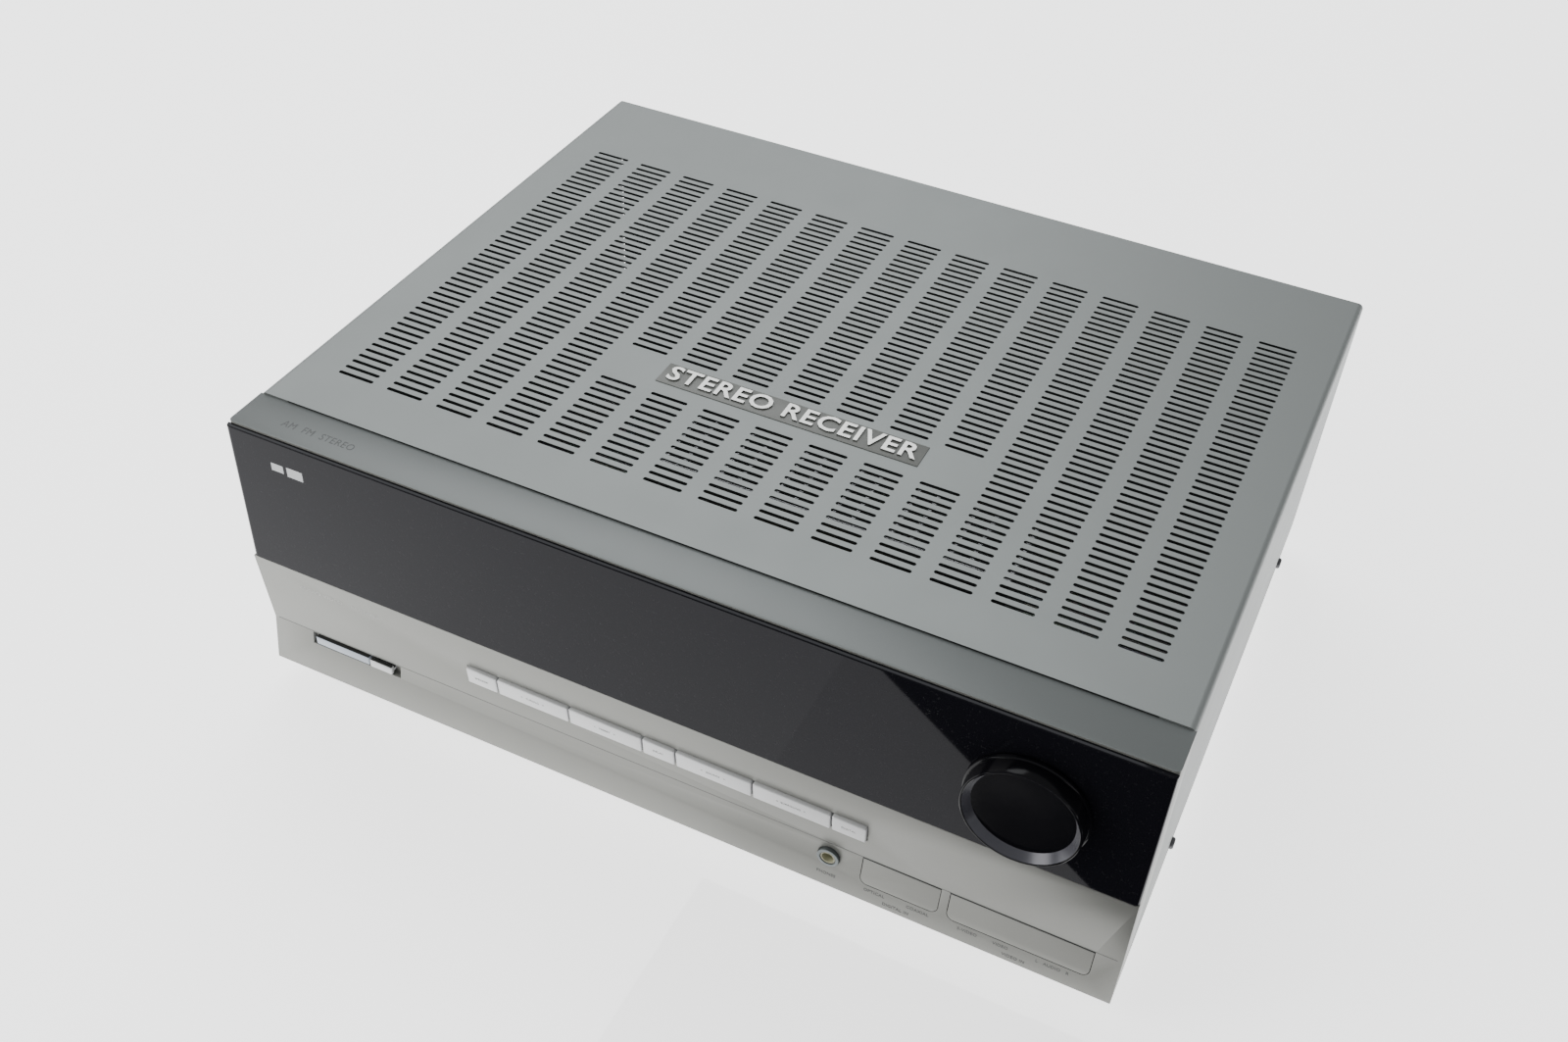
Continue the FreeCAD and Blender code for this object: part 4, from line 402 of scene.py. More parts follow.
def can_sleeve():
    """The printed sleeve of a filter capacitor."""
    finish = Finish("can_sleeve", (0.012, 0.02, 0.05), 0.25)
    stripe = finish.noise(20.0, 0.0) > 0.58
    finish.set("Base Color", finish.mix(stripe * 0.4, finish.color, (0.4, 0.42, 0.45, 1)))
    return finish.rough(0.27, 0.06, 90.0)


def ink(name, color):
    """Printed lettering: flat paint with a slightly broken edge of tone."""
    finish = Finish(name, color, 0.5)
    return finish.speckle(0.3, tuple(c * 0.8 + 0.02 for c in color), 5000.0)


print("plastics, boards and ink")


# %% Give every record slot its finish
finishes = {
    "cover_paint": cover_paint(), "silver_paint": silver_paint(), "window_black": window_black(),
    "knob_black": knob_black(), "button_silver": button_silver(), "light_lens": light_lens(),
    "zinc_steel": zinc_steel(), "nickel": nickel(), "sink_aluminium": sink_aluminium(),
    "encoder_metal": encoder_metal(), "screw_steel": screw_steel(), "ring_brass": ring_brass(),
    "socket_dark": socket_dark(), "core_iron": core_iron(), "badge_metal": badge_metal(),
    "rear_paint": rear_paint(), "circuit_board": circuit_board(), "tube_glass": tube_glass(),
    "coil_tape": coil_tape(), "can_sleeve": can_sleeve(),
    "foot_plastic": moulded("foot_plastic", (0.018, 0.018, 0.019), 0.6, 0.4),
    "black_plastic": moulded("black_plastic", (0.014, 0.014, 0.015), 0.42),
    "antenna_parts": moulded("antenna_parts", (0.022, 0.022, 0.024), 0.45),
    "inlet_plastic": moulded("inlet_plastic", (0.013, 0.013, 0.014), 0.48),
    "cap_red": moulded("cap_red", (0.36, 0.010, 0.012), 0.28, 0.05),
    "cap_black": moulded("cap_black", (0.010, 0.010, 0.011), 0.28, 0.05),
}
extra = {
    # The trim finish is a darker copy of the silver paint: painted shade on the facia's top strip.
    "wall": knob_wall(), "trim": trim_shaded_paint(),
    "dark_print": ink("dark_print", (0.055, 0.057, 0.055)),
    "light_print": ink("light_print", (0.44, 0.45, 0.46)),
    "pale_print": ink("pale_print", (0.36, 0.363, 0.35)),
    "crease_shade": ink("crease_shade", (0.05, 0.052, 0.05)),
    "gap_dark": moulded("gap_dark", (0.014, 0.015, 0.014), 0.7, 0.0),
    "badge_side_shade": moulded("badge_side_shade", (0.045, 0.048, 0.044), 0.4, 0.05),
    "phones_brass": moulded("phones_brass", (0.40, 0.395, 0.27), 0.35, 0.02),
    "rear_print": ink("rear_print", (0.66, 0.66, 0.64)),
    "badge_ground": moulded("badge_ground", (0.105, 0.108, 0.098), 0.45, 0.1),
    "white_ring": moulded("white_ring", (0.70, 0.69, 0.65), 0.4, 0.03),
    "red_ring": moulded("red_ring", (0.50, 0.012, 0.012), 0.35, 0.03),
    "yellow_ring": moulded("yellow_ring", (0.72, 0.50, 0.02), 0.35, 0.03),
    "orange_ring": moulded("orange_ring", (0.72, 0.20, 0.01), 0.35, 0.03),
    "shadow": moulded("shadow", (0.004, 0.004, 0.004), 0.8, 0.0),
}
slot_of = {part["node"]: part["material_slot"] for part in frame["record"]["subparts"]}
body_of = {node: body for body, group in frame["record"]["behaviour"]["bodies"].items() for node in group}
for name, node in nodes.items():
    node.data.materials.clear()
    node.data.materials.append(finishes[slot_of[name]].material)
print(len(finishes) + len(extra), "finishes")

# %% [markdown]
# ## Making pieces
#
# Each new piece is a bmesh that becomes an object at the origin, with its place in its mesh. A few
# helpers cover most of them: `finished` turns a bmesh into a riding piece, `spun` turns a profile
# round an axis, `block` makes a rounded block, and `refined` copies a CAD part, joins its loose
# triangles, gives it small rounded edges and takes the part's place.

# %% Helpers for pieces
FLAT_AREA = 0.0001
CREASE = math.radians(5)


def shade(mesh, limit):
    """Smooth shading, broken at edges over a limit and at creases between two large flat faces."""
    for face in mesh.faces:
        face.smooth = True
    for edge in mesh.edges:
        if not edge.is_manifold:
            continue
        bend = edge.calc_face_angle()
        flat = min(face.calc_area() for face in edge.link_faces) > FLAT_AREA
        edge.smooth = bend < (CREASE if flat else limit)


def finished(name, mesh, finish, body, replaced=(), smooth=35):
    """Makes a bmesh a piece that rides on a body."""
    shade(mesh, math.radians(smooth))
    data = bpy.data.meshes.new(name)
    mesh.to_mesh(data)
    mesh.free()
    piece = bpy.data.objects.new(name, data)
    bpy.context.scene.collection.objects.link(piece)
    for material in finish if isinstance(finish, (list, tuple)) else [finish]:
        data.materials.append(material.material)
    if replaced:
        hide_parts(*replaced)
    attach(piece, body)
    return piece


print("edges break at", round(math.degrees(CREASE)), "degrees between faces over", FLAT_AREA * 1e6, "mm2")


# %% Helpers for shapes
def turn_to(axis):
    """The rotation that takes +Z to an axis."""
    return Vector((0, 0, 1)).rotation_difference(Vector(axis)).to_matrix().to_4x4()


def spun(profile, centre, axis=(0, -1, 0), steps=96):
    """A bmesh turned from pairs of radius and height, about an axis through a centre."""
    mesh = bmesh.new()
    points = [mesh.verts.new((radius, 0, height)) for radius, height in profile]
    edges = [mesh.edges.new(pair) for pair in zip(points, points[1:])]
    bmesh.ops.spin(mesh, geom=points + edges, cent=(0, 0, 0), axis=(0, 0, 1), angle=2 * math.pi,
                   steps=steps, use_merge=True)
    bmesh.ops.remove_doubles(mesh, verts=mesh.verts, dist=1e-6)
    bmesh.ops.recalc_face_normals(mesh, faces=mesh.faces)
    bmesh.ops.transform(mesh, matrix=Matrix.Translation(centre) @ turn_to(axis), verts=mesh.verts)
    return mesh


def block(low, high, bevel=0.0, segments=2):
    """A bmesh block between two corners, with all edges rounded."""
    low, high = Vector(low), Vector(high)
    mesh = bmesh.new()
    size = Matrix.Diagonal((*(high - low), 1))
    bmesh.ops.create_cube(mesh, size=1, matrix=Matrix.Translation((low + high) / 2) @ size)
    if bevel:
        round_edges(mesh, mesh.edges[:], bevel, segments)
    return mesh


def round_edges(mesh, edges, width, segments=2):
    """Rounds the given edges of a bmesh."""
    bmesh.ops.bevel(mesh, geom=edges, offset=width, offset_type="OFFSET", segments=segments,
                    profile=0.5, affect="EDGES", material=-1, clamp_overlap=True)


def joined(meshes):
    """Several bmeshes as one."""
    whole = bmesh.new()
    for mesh in meshes:
        data = bpy.data.meshes.new("part")
        mesh.to_mesh(data)
        mesh.free()
        whole.from_mesh(data)
        bpy.data.meshes.remove(data)
    return whole


sample = block((0, 0, 0), (1, 1, 1), 0.1)
print("a rounded block has", len(sample.faces), "faces")
sample.free()

# %% [markdown]
# ## Parts with two finishes
#
# The facia's top strip has the same silver paint as its face, and gets a darker copy of it as painted
# shade. The narrow gaps round the doors and above the light strip sit in shadow on the real thing, and a
# render opens them up too much. A second material on those few faces is the plain way to keep a gap dark,
# and it needs no extra piece.

# %% Which finish a face gets
DOORS = ("digital_input_door", "av_input_door")
DOORWAYS = [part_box(name) for name in DOORS]
SECOND_LOOKS = {
    "facia": ("trim", "gap_dark"), "digital_input_door": ("gap_dark",), "av_input_door": ("gap_dark",),
    "power_indicator_lens": ("gap_dark",),
}
TRIM_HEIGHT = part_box("display_window")[1].z - 0.0002
FRONTAL = 0.9
HINGE_PIN = 0.0015
DOOR_EDGE = 0.0007


def in_doorway(spot):
    """Whether a point lies in the opening of one of the two doors, or on its edge."""
    for low, high in DOORWAYS:
        beside = low.x + HINGE_PIN - DOOR_EDGE < spot.x < high.x - HINGE_PIN + DOOR_EDGE
        if beside and low.z - DOOR_EDGE < spot.z < high.z + DOOR_EDGE:
            return True
    return False


def look_of(name, face):
    """The place in a part's list of materials that a face gets."""
    if name == "facia":
        middle = face.calc_center_median()
        if in_doorway(middle) and abs(face.normal.y) < FRONTAL:
            return 2
        # Faces above the window's top take the darker trim copy of the silver paint, as painted shade.
        return int(middle.z > TRIM_HEIGHT)
    if name in DOORS:
        return int(abs(face.normal.y) < FRONTAL)
    return int(face.normal.z > FRONTAL)


print(len(DOORWAYS), "doorways, trim above", round(TRIM_HEIGHT, 4))


# %% Copies of CAD parts with rounded edges
def refined(name, bevel=0.0, segments=2, sharp=40):
    """A clean copy of a CAD part with its hard edges rounded, in the part's place."""
    mesh = bmesh.new()
    mesh.from_mesh(nodes[name].data)
    bmesh.ops.remove_doubles(mesh, verts=mesh.verts, dist=2e-6)
    bmesh.ops.dissolve_limit(mesh, angle_limit=math.radians(0.5), verts=mesh.verts, edges=mesh.edges)
    if bevel:
        hard = [e for e in mesh.edges if len(e.link_faces) == 2
                and e.calc_face_angle() > math.radians(sharp)]
        round_edges(mesh, hard, bevel, segments)
    slot = slot_of[name]
    looks = [finishes[slot]] + [extra[look] for look in SECOND_LOOKS.get(name, ())]
    mesh.normal_update()
    if name in SECOND_LOOKS:
        for face in mesh.faces:
            face.material_index = look_of(name, face)
    return finished(name + "_finished", mesh, looks, body_of[name], (name,))

# %% [markdown]
# ## Lettering
#
# Printed words are text curves turned into thin meshes and laid just proud of the surface. A
# texture could carry them, but a mesh stays sharp at any distance and exports as it is. The
# words are plain functional ones.

# %% Lay words on a surface
CAPITAL = 0.72


def surface_at(x, y, z, up=(0, 0, 1), out=(0, -1, 0)):
    """A frame of reference on a surface: text runs along X, rises along up and faces out."""
    out = Vector(out).normalized()
    up = Vector(up).normalized()
    across = up.cross(out).normalized()
    rotation = Matrix((across, up, out)).transposed().to_4x4()
    return Matrix.Translation((x, y, z)) @ rotation


def words_mesh(text, height, at, depth=0.00004, wide=1.0, align="CENTER", bold=0.0):
    """A bmesh of raised words, with their middle at a frame of reference."""
    curve = bpy.data.curves.new("words", "FONT")
    curve.body = text
    curve.size = height / CAPITAL
    curve.align_x = align
    curve.align_y = "CENTER"
    curve.extrude = depth / 2
    curve.offset = bold
    curve.resolution_u = 3
    curve.space_character = 1.08
    holder = bpy.data.objects.new("words", curve)
    data = bpy.data.meshes.new_from_object(holder)
    data.transform(at @ Matrix.Translation((0, 0, depth / 2)) @ Matrix.Diagonal((wide, 1, 1, 1)))
    mesh = bmesh.new()
    mesh.from_mesh(data)
    bpy.data.meshes.remove(data)
    bpy.data.objects.remove(holder)
    bpy.data.curves.remove(curve)
    return mesh


print("a capital is", CAPITAL, "of the text's size")

# %% [markdown]
# ## Where the front's surfaces lie
#
# The silver face leans back from the window down to a crease, then comes forward again to the
# lower edge. Everything printed or fitted on it needs a point and a direction on one of the two
# slopes, and both follow from the CAD boxes.

# %% The slopes of the facia
window_low, window_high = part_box("display_window")
facia_low, facia_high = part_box("facia")
FACE = window_low.y
WINDOW_BOTTOM = window_low.z
CREASE_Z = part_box("av_input_door")[1].z
CREASE_INSET = 0.005
LIP_REACH = 0.0037


def on_facia(x, z, lift=0.00002):
    """A frame of reference on the silver face at a height."""
    if z > CREASE_Z:
        rise = Vector((0, -CREASE_INSET, WINDOW_BOTTOM - CREASE_Z)).normalized()
        y = FACE + CREASE_INSET * (WINDOW_BOTTOM - z) / (WINDOW_BOTTOM - CREASE_Z)
    else:
        rise = Vector((0, LIP_REACH, CREASE_Z - facia_low.z)).normalized()
        y = FACE + CREASE_INSET - LIP_REACH * (CREASE_Z - z) / (CREASE_Z - facia_low.z)
    out = rise.cross(Vector((1, 0, 0)))
    if out.y > 0:
        out = -out
    return surface_at(x, y + out.y * lift, z + out.z * lift, rise, out)


print("window front at", round(FACE, 4), "and crease at", round(CREASE_Z, 4))

# %% [markdown]
# ## The shell of the case
#
# The facia, the doors, the feet and the plastic blocks at the back have the right shape in CAD,
# but their edges are perfectly sharp, and real mouldings never are. A bevel modifier would work;
# bevelling a clean copy with bmesh does the same and keeps the result in the mesh. A width of
# zero only cleans the copy. The cover has 678 slots, so it keeps its CAD mesh, and only its
# material changes.

# %% Soften the moulded parts
for name, width in (
    ("facia", 0.00035), ("digital_input_door", 0.0003), ("av_input_door", 0.0003),
    ("feet", 0.0006), ("speaker_terminal_block", 0.0004), ("mains_inlet", 0.0003),
    ("headphone_nut", 0.0003), ("power_indicator_lens", 0.0003), ("antenna_terminals", 0.0003),
    ("headphone_jack", 0.0), ("rear_video_jacks", 0.0), ("rear_digital_jacks", 0.0002),
    ("rear_audio_jacks", 0.0), ("front_av_jacks", 0.0), ("front_digital_jacks", 0.0),
    ("filter_capacitors", 0.0008), ("transformer_coil", 0.0015), ("speaker_posts", 0.0),
):
    refined(name, width)
    print(name, "rounded by", round(width * 1000, 2), "mm")

# %% [markdown]
# ## The volume knob
#
# The knob is a deep ring with a dished face: a thin rim, a conical inner wall that catches the
# light, and a dark floor. It is a turned part, so a spun profile is the natural way, with enough
# steps to keep the silhouette round. The inner wall is a face range of its own in a lighter
# finish, made as a second spun piece that sits on the dish.

# %% Spin the knob
knob_low, knob_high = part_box("volume_knob")
knob_centre = Vector(((knob_low.x + knob_high.x) / 2, knob_high.y, (knob_low.z + knob_high.z) / 2))
knob_height = knob_high.y - knob_low.y
BASE_RADIUS = (knob_high.x - knob_low.x) / 2
RIM_RADIUS = BASE_RADIUS - 0.0014
DISH_RADIUS = RIM_RADIUS - 0.0012
FLOOR_RADIUS = 0.0219
DISH_DEEP = 0.004

side = [
    (BASE_RADIUS - 0.002, 0.0), (BASE_RADIUS - 0.0002, 0.0), (BASE_RADIUS, 0.0002),
    (BASE_RADIUS - 0.0001, 0.0013), (BASE_RADIUS - 0.0004, 0.0015), (RIM_RADIUS + 0.0006, 0.0017),
    (RIM_RADIUS, knob_height - 0.0007), (RIM_RADIUS - 0.0002, knob_height - 0.0002),
    (RIM_RADIUS - 0.0005, knob_height), (DISH_RADIUS + 0.0003, knob_height),
    (DISH_RADIUS, knob_height - 0.0002),
]
wall = [(DISH_RADIUS, knob_height - 0.0002), (FLOOR_RADIUS, knob_height - DISH_DEEP)]
face = [(FLOOR_RADIUS * f, knob_height - DISH_DEEP - 0.0007 * math.cos(f * math.pi / 2))
        for f in (1, 0.8, 0.6, 0.4, 0.2, 0)]
back = [(0, knob_height - DISH_DEEP - 0.0024), (FLOOR_RADIUS - 0.002, knob_height - DISH_DEEP - 0.002),
        (BASE_RADIUS - 0.002, 0.0012)]

knob = spun(back + side + wall[:1], knob_centre, steps=128)
finished("knob_ring", knob, finishes["knob_black"], "knob", ("volume_knob",), smooth=28)
finished("knob_dish_wall", spun(wall, knob_centre, steps=128), extra["wall"], "knob")
finished("knob_dish_floor", spun(face, knob_centre, steps=128), finishes["knob_black"], "knob")
print("knob", round(BASE_RADIUS * 2000, 1), "mm across")

# %% [markdown]
# ## Buttons
#
# Seven keys stand in one slot: small, large, large, small, large, large, small. Each is a moulded
# cap with a full rounded front. The CAD caps only have two rounded edges, so each gets a bmesh
# block of its own that follows the slope of the facia and takes the CAD button's place.

# %% Button caps
BUTTON_WORDS = {
    "speaker_button": "SPEAKER", "tuning_button": "<   TUNING   >", "preset_button": "<   PRESET   >",
    "delay_button": "DELAY", "source_button": "<   SOURCE   >", "surround_button": "<  SURROUND  >",
    "digital_button": "DIGITAL",
}
KEY_EDGE = 0.0007


def leaned_block(low, high, bevel):
    """A block whose front follows the upper slope of the facia."""
    mesh = block(low, high)
    slope = CREASE_INSET / (WINDOW_BOTTOM - CREASE_Z)
    for corner in mesh.verts:
        if corner.co.y < (low[1] + high[1]) / 2:
            corner.co.y = low[1] + slope * (high[2] - corner.co.z)
    front = [e for e in mesh.edges if max(v.co.y for v in e.verts) < high[1] - 1e-6]
    sides = [e for e in mesh.edges if abs(e.verts[0].co.y - e.verts[1].co.y) > 0.001]
    round_edges(mesh, list(set(front + sides)), bevel, 3)
    return mesh


for name, legend in BUTTON_WORDS.items():
    low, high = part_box(name)
    lip = 0.0016
    cap_low = (low.x, low.y, low.z + lip)
    cap_high = (high.x, low.y + 0.0062, high.z - lip)
    cap = leaned_block(cap_low, cap_high, KEY_EDGE)
    flange = block((low.x, low.y + 0.0058, low.z), (high.x, low.y + 0.0072, high.z), 0.0002)
    middle = (low.x + high.x) / 2
    arm = block((middle - 0.0015, low.y + 0.0070, (low.z + high.z) / 2 - 0.0015),
                (middle + 0.0015, high.y, (low.z + high.z) / 2 + 0.0015), 0.0002)
    finished(name + "_key", joined([cap, flange, arm]), finishes["button_silver"], name,
             (name,))
    centre_z = (cap_low[2] + cap_high[2]) / 2
    slope = CREASE_INSET / (WINDOW_BOTTOM - CREASE_Z)
    up = (0, -slope, 1)
    face_y = low.y + slope * (cap_high[2] - centre_z)
    at = surface_at(middle, face_y - 0.00001, centre_z, up, (0, -1, -slope))
    label = words_mesh(legend, 0.00125, at)
    finished(name + "_legend", label, extra["dark_print"], name)
print(len(BUTTON_WORDS), "keys")

# %% [markdown]
# ## Standby key and the light beside it
#
# The standby key stands in the recess at the left, next to a pale light strip. The key is a
# single moulding, so it is remade as a rounded block over a stalk as long as the CAD part's. The
# cap is thin enough to stay clear of the recess when it is pressed. Its top face lies in the
# shadow of the facia's crease, so it gets the dark finish of a gap.

# %% Standby key
low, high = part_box("standby_button")
TONGUE = 0.0016
CAP_THICK = 0.0026
CAP_OVERLAP = 0.0003
PLAY = 0.0005
cap = block((low.x + TONGUE, low.y, low.z), (high.x - TONGUE, low.y + CAP_THICK, high.z), KEY_EDGE, 3)
stalk = block((low.x + TONGUE, low.y + CAP_THICK - CAP_OVERLAP, low.z + TONGUE),
              (high.x - TONGUE, high.y - PLAY, high.z - TONGUE), 0.0002)
key = joined([cap, stalk])
key.normal_update()
for face in key.faces:
    face.material_index = int(face.normal.z > FRONTAL)
looks = [finishes["button_silver"], extra["gap_dark"]]
finished("standby_key", key, looks, "standby_button", ("standby_button",))
print("standby key", round((high.x - low.x - 2 * TONGUE) * 1000, 1), "mm wide")

# %% [markdown]
# ## The badge
#
# The cover carries a badge of raised letters on a dark ground. It says what the thing is, in
# plain wide capitals of its own. The letters are text meshes with real depth. Their sides get a darker
# finish than their faces: painted shade on the flanks, which turn away from the light.

# %% Badge
badge_low, badge_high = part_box("name_badge")
badge_mid = (badge_low + badge_high) / 2
ground = block(badge_low, (badge_high.x, badge_high.y, badge_low.z + 0.0004), 0.0002)
flat = surface_at(badge_mid.x, badge_mid.y, badge_low.z + 0.0004, (0, 1, 0), (0, 0, 1))
LETTER_DEPTH = 0.0008
letters = words_mesh("STEREO RECEIVER", 0.0106, flat, LETTER_DEPTH - 0.00004, bold=0.00028)
span = max(v.co.x for v in letters.verts) - min(v.co.x for v in letters.verts)
stretch = (badge_high.x - badge_low.x - 0.006) / span
bmesh.ops.transform(letters, matrix=Matrix.Diagonal((stretch, 1, 1, 1)), verts=letters.verts)
finished("badge_ground", ground, extra["badge_ground"], "case", ("name_badge",))
letters.normal_update()
# Side faces of the letters get the darker finish: painted shade on their flanks.
for face in letters.faces:
    face.material_index = int(face.normal.z < 0.5)
finished("badge_letters", letters, [finishes["badge_metal"], extra["badge_side_shade"]], "case")
print("badge", round(stretch, 3), "wide")

# %% [markdown]
# ## Printed words on the front
#
# The print is small and functional: what each socket and door is for, and what the set is. Dark
# ink reads on the silver face, and one line below the window is in a paler grey. Each word is a
# text mesh laid on the slope it belongs to.

# %% Print
def door_middle(name):
    """The middle, the left end and the right end of a door."""
    low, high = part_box(name)
    return (low.x + high.x) / 2, low.x, high.x


phones_low, phones_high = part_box("headphone_nut")
phones_x = (phones_low.x + phones_high.x) / 2
digital_mid, digital_left, digital_right = door_middle("digital_input_door")
av_mid, av_left, av_right = door_middle("av_input_door")
SMALL = 0.0017
front_words = [
    ("PHONES", phones_x, 0.0205, SMALL), ("OPTICAL", digital_left + 0.009, 0.0205, SMALL),
    ("COAXIAL", digital_right - 0.010, 0.0205, SMALL), ("DIGITAL IN", digital_mid, 0.0165, SMALL),
    ("S-VIDEO", av_left + 0.012, 0.0205, SMALL), ("VIDEO", av_left + 0.0275, 0.0205, SMALL),
    ("L   AUDIO   R", av_right - 0.017, 0.0205, SMALL), ("VIDEO IN", av_mid, 0.0165, SMALL),
]
print_meshes = [words_mesh(text, height, on_facia(x, z), bold=0.00003) for text, x, z,
                height in front_words]
finished("front_print", joined(print_meshes), extra["dark_print"], "case")
maker_line = words_mesh("AUDIO VIDEO    RECEIVER", 0.0023, on_facia(-0.196, 0.0728), wide=1.15,
                        align="LEFT")
finished("maker_line", maker_line, extra["pale_print"], "case")
print(len(front_words) + 1, "lines of print")

# %% [markdown]
# ## Round corners of the door openings, and the crease
#
# The openings for the two doors have round lower corners, like the doors themselves. The CAD cuts
# them square, so each corner gets a thin fillet: a face with a round inner edge, pushed in a
# little way. The silver face bends along a crease, and a real moulding shows a soft shadow line
# there. A bevel would only blur it, so a hair-thin dark strip lies just above the bend.

# %% Fillets for the openings
CORNER_RADIUS = 0.0038
CORNER_STEPS = 8
CORNER_DEEP = 0.0015


def corner_fill(corner, side, z):
    """The sliver of the facia between a square corner and its round one, on one side of an opening."""
    arc = [math.pi * (1 + step / CORNER_STEPS / 2) for step in range(CORNER_STEPS + 1)]
    flat = [(0.0, 0.0)] + [(1 + math.cos(turn), 1 + math.sin(turn)) for turn in arc]
    mesh = bmesh.new()
    face = mesh.faces.new([mesh.verts.new((side * x * CORNER_RADIUS, y * CORNER_RADIUS, 0)) for x,
                           y in flat])
    made = bmesh.ops.extrude_face_region(mesh, geom=[face])["geom"]
    inward = [item for item in made if isinstance(item, bmesh.types.BMVert)]
    bmesh.ops.translate(mesh, vec=(0, 0, -CORNER_DEEP), verts=inward)
    bmesh.ops.recalc_face_normals(mesh, faces=mesh.faces)
    bmesh.ops.transform(mesh, matrix=on_facia(corner, z, 0.0), verts=mesh.verts)
    return mesh


DOOR_GAP = 0.0003
fills = []
for low, high in DOORWAYS:
    fills.append(corner_fill(low.x + HINGE_PIN - DOOR_GAP, 1, low.z - DOOR_GAP))
    fills.append(corner_fill(high.x - HINGE_PIN + DOOR_GAP, -1, low.z - DOOR_GAP))
print(len(fills), "round corners of", CORNER_RADIUS * 1000, "mm")
finished("doorway_corners", joined(fills), finishes["silver_paint"], "case")

# %% Shadow line on the crease
CREASE_LINE = 0.0004
LINE_THICK = 0.00003
LINE_RISE = 0.00052
END_SPACE = 0.0022
strip = block((facia_low.x + END_SPACE, -CREASE_LINE / 2, 0),
              (facia_high.x - END_SPACE, CREASE_LINE / 2, LINE_THICK))
bmesh.ops.transform(strip, matrix=on_facia(0, CREASE_Z + LINE_RISE), verts=strip.verts)
finished("crease_line", strip, extra["crease_shade"], "case")
print("crease line", CREASE_LINE * 1000, "mm wide")

# %% [markdown]
# ## Headphone contact sleeve
#
# A headphone socket has a thin metal sleeve inside its ring nut, where the plug's barrel touches.
# It is a turned part, so one spun profile makes it, with a small lip at the mouth.

# %% Sleeve
phones_mid = (phones_low + phones_high) / 2
SLEEVE_BORE = 0.0030
SLEEVE = [
    (SLEEVE_BORE, 0.0), (SLEEVE_BORE, 0.0082), (0.0034, 0.0082), (0.0034, 0.0081), (0.00315, 0.0081),
    (0.00315, 0.0), (SLEEVE_BORE, 0.0),
]
sleeve = spun(SLEEVE, (phones_mid.x, phones_low.y + 0.0085, phones_mid.z), steps=48)
finished("phones_sleeve", sleeve, extra["phones_brass"], "case")
print("sleeve bore", SLEEVE_BORE * 2000, "mm")

# %% [markdown]
# ## Marks on the trim and the window
#
# A line of dark print lies on the flat strip above the window, and two plain light marks sit at
# the window's top left. The marks are thin blocks that stand a little proud of the glass.

# %% Trim print and window marks
TRIM_WORDS_X = -0.178
TRIM_WORDS_BACK = 0.0125
trim = surface_at(TRIM_WORDS_X, FACE + TRIM_WORDS_BACK, facia_high.z + 0.00001, (0, 1, 0), (0, 0, 1))
trim_words = words_mesh("AM  FM  STEREO", 0.0042, trim, wide=0.85)
finished("trim_print", trim_words, extra["dark_print"], "case")

MARKS = [(-0.1969, -0.1903, 0.1462, 0.1505), (-0.1883, -0.1797, 0.1455, 0.1508)]
marks = []
for left, right, low_z, high_z in MARKS:
    marks.append(block((left, FACE - 0.00004, low_z), (right, FACE + 0.0001, high_z)))
finished("window_marks", joined(marks), extra["light_print"], "case")
print(len(MARKS), "marks")

# %% [markdown]
# ## The back
#
# Out of sight of the front view, but part of the object. Phono sockets have coloured rings that
# say what they carry, screws have cross slots, and the panel has plain print. The rings are spun
# profiles, one piece for each colour.

# %% Coloured rings and cores of the sockets
mounts = {mount["name"]: mount for mount in frame["record"]["mounts"]}
panel_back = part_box("rear_panel")[1].y
RING = [(0.0046, 0.0), (0.0066, 0.0), (0.0068, 0.0003), (0.0066, 0.0011), (0.0050, 0.0011), (0.0046, 0.0)]
CORE = [(0.0018, 0.0), (0.00335, 0.0), (0.00335, 0.0002), (0.0018, 0.0002), (0.0018, 0.0)]


def mount_centre(name):
    """Where the record puts a mount."""
    return Vector(mounts[name]["pos_m"])


ring_sets = {"white_ring": [], "red_ring": [], "yellow_ring": [], "orange_ring": []}
for name in mounts:
    if name.startswith("audio_"):
        ring_sets["white_ring" if name.endswith("left") else "red_ring"].append(name)
    elif name.startswith("video_"):
        ring_sets["yellow_ring"].append(name)
    elif name == "coaxial_digital":
        ring_sets["orange_ring"].append(name)
front_rings = {"front_audio_left": "white_ring", "front_audio_right": "red_ring",
               "front_video": "yellow_ring"}
for color, names in ring_sets.items():
    rings = []
    for name in names:
        spot = mount_centre(name)
        rings.append(spun(RING, (spot.x, panel_back, spot.z), (0, 1, 0), 24))
        rings.append(spun(CORE, (spot.x, panel_back + 0.0081, spot.z), (0, 1, 0), 24))
    for name, wanted in front_rings.items():
        if wanted == color:
            spot = mount_centre(name)
            rings.append(spun(CORE, (spot.x, spot.y - 0.0039, spot.z), (0, -1, 0), 24))
    print(len(rings), "turned pieces in", color)
    finished(color + "s", joined(rings), extra[color], "case")

# %% Shells of the phono sockets
SHELL = [
    (0.00345, 0.0), (0.00345, 0.0094), (0.0036, 0.0095), (0.0040, 0.0095), (0.00415, 0.0094),
    (0.00415, 0.0010), (0.0044, 0.0010), (0.0044, 0.0), (0.00345, 0.0),
]
SHORT_SHELL = [(radius, max(0.0, height - 0.001)) for radius, height in SHELL if radius < 0.0044]
shells = []
for names in ring_sets.values():
    for name in names:
        spot = mount_centre(name)
        shells.append(spun(SHELL, (spot.x, panel_back - 0.001, spot.z), (0, 1, 0), 32))
for name in front_rings:
    spot = mount_centre(name)
    shells.append(spun(SHORT_SHELL, (spot.x, spot.y + 0.00425, spot.z), (0, -1, 0), 32))
print(len(shells), "phono shells")
finished("phono_shells", joined(shells), finishes["nickel"], "case", ("rca_shells",))

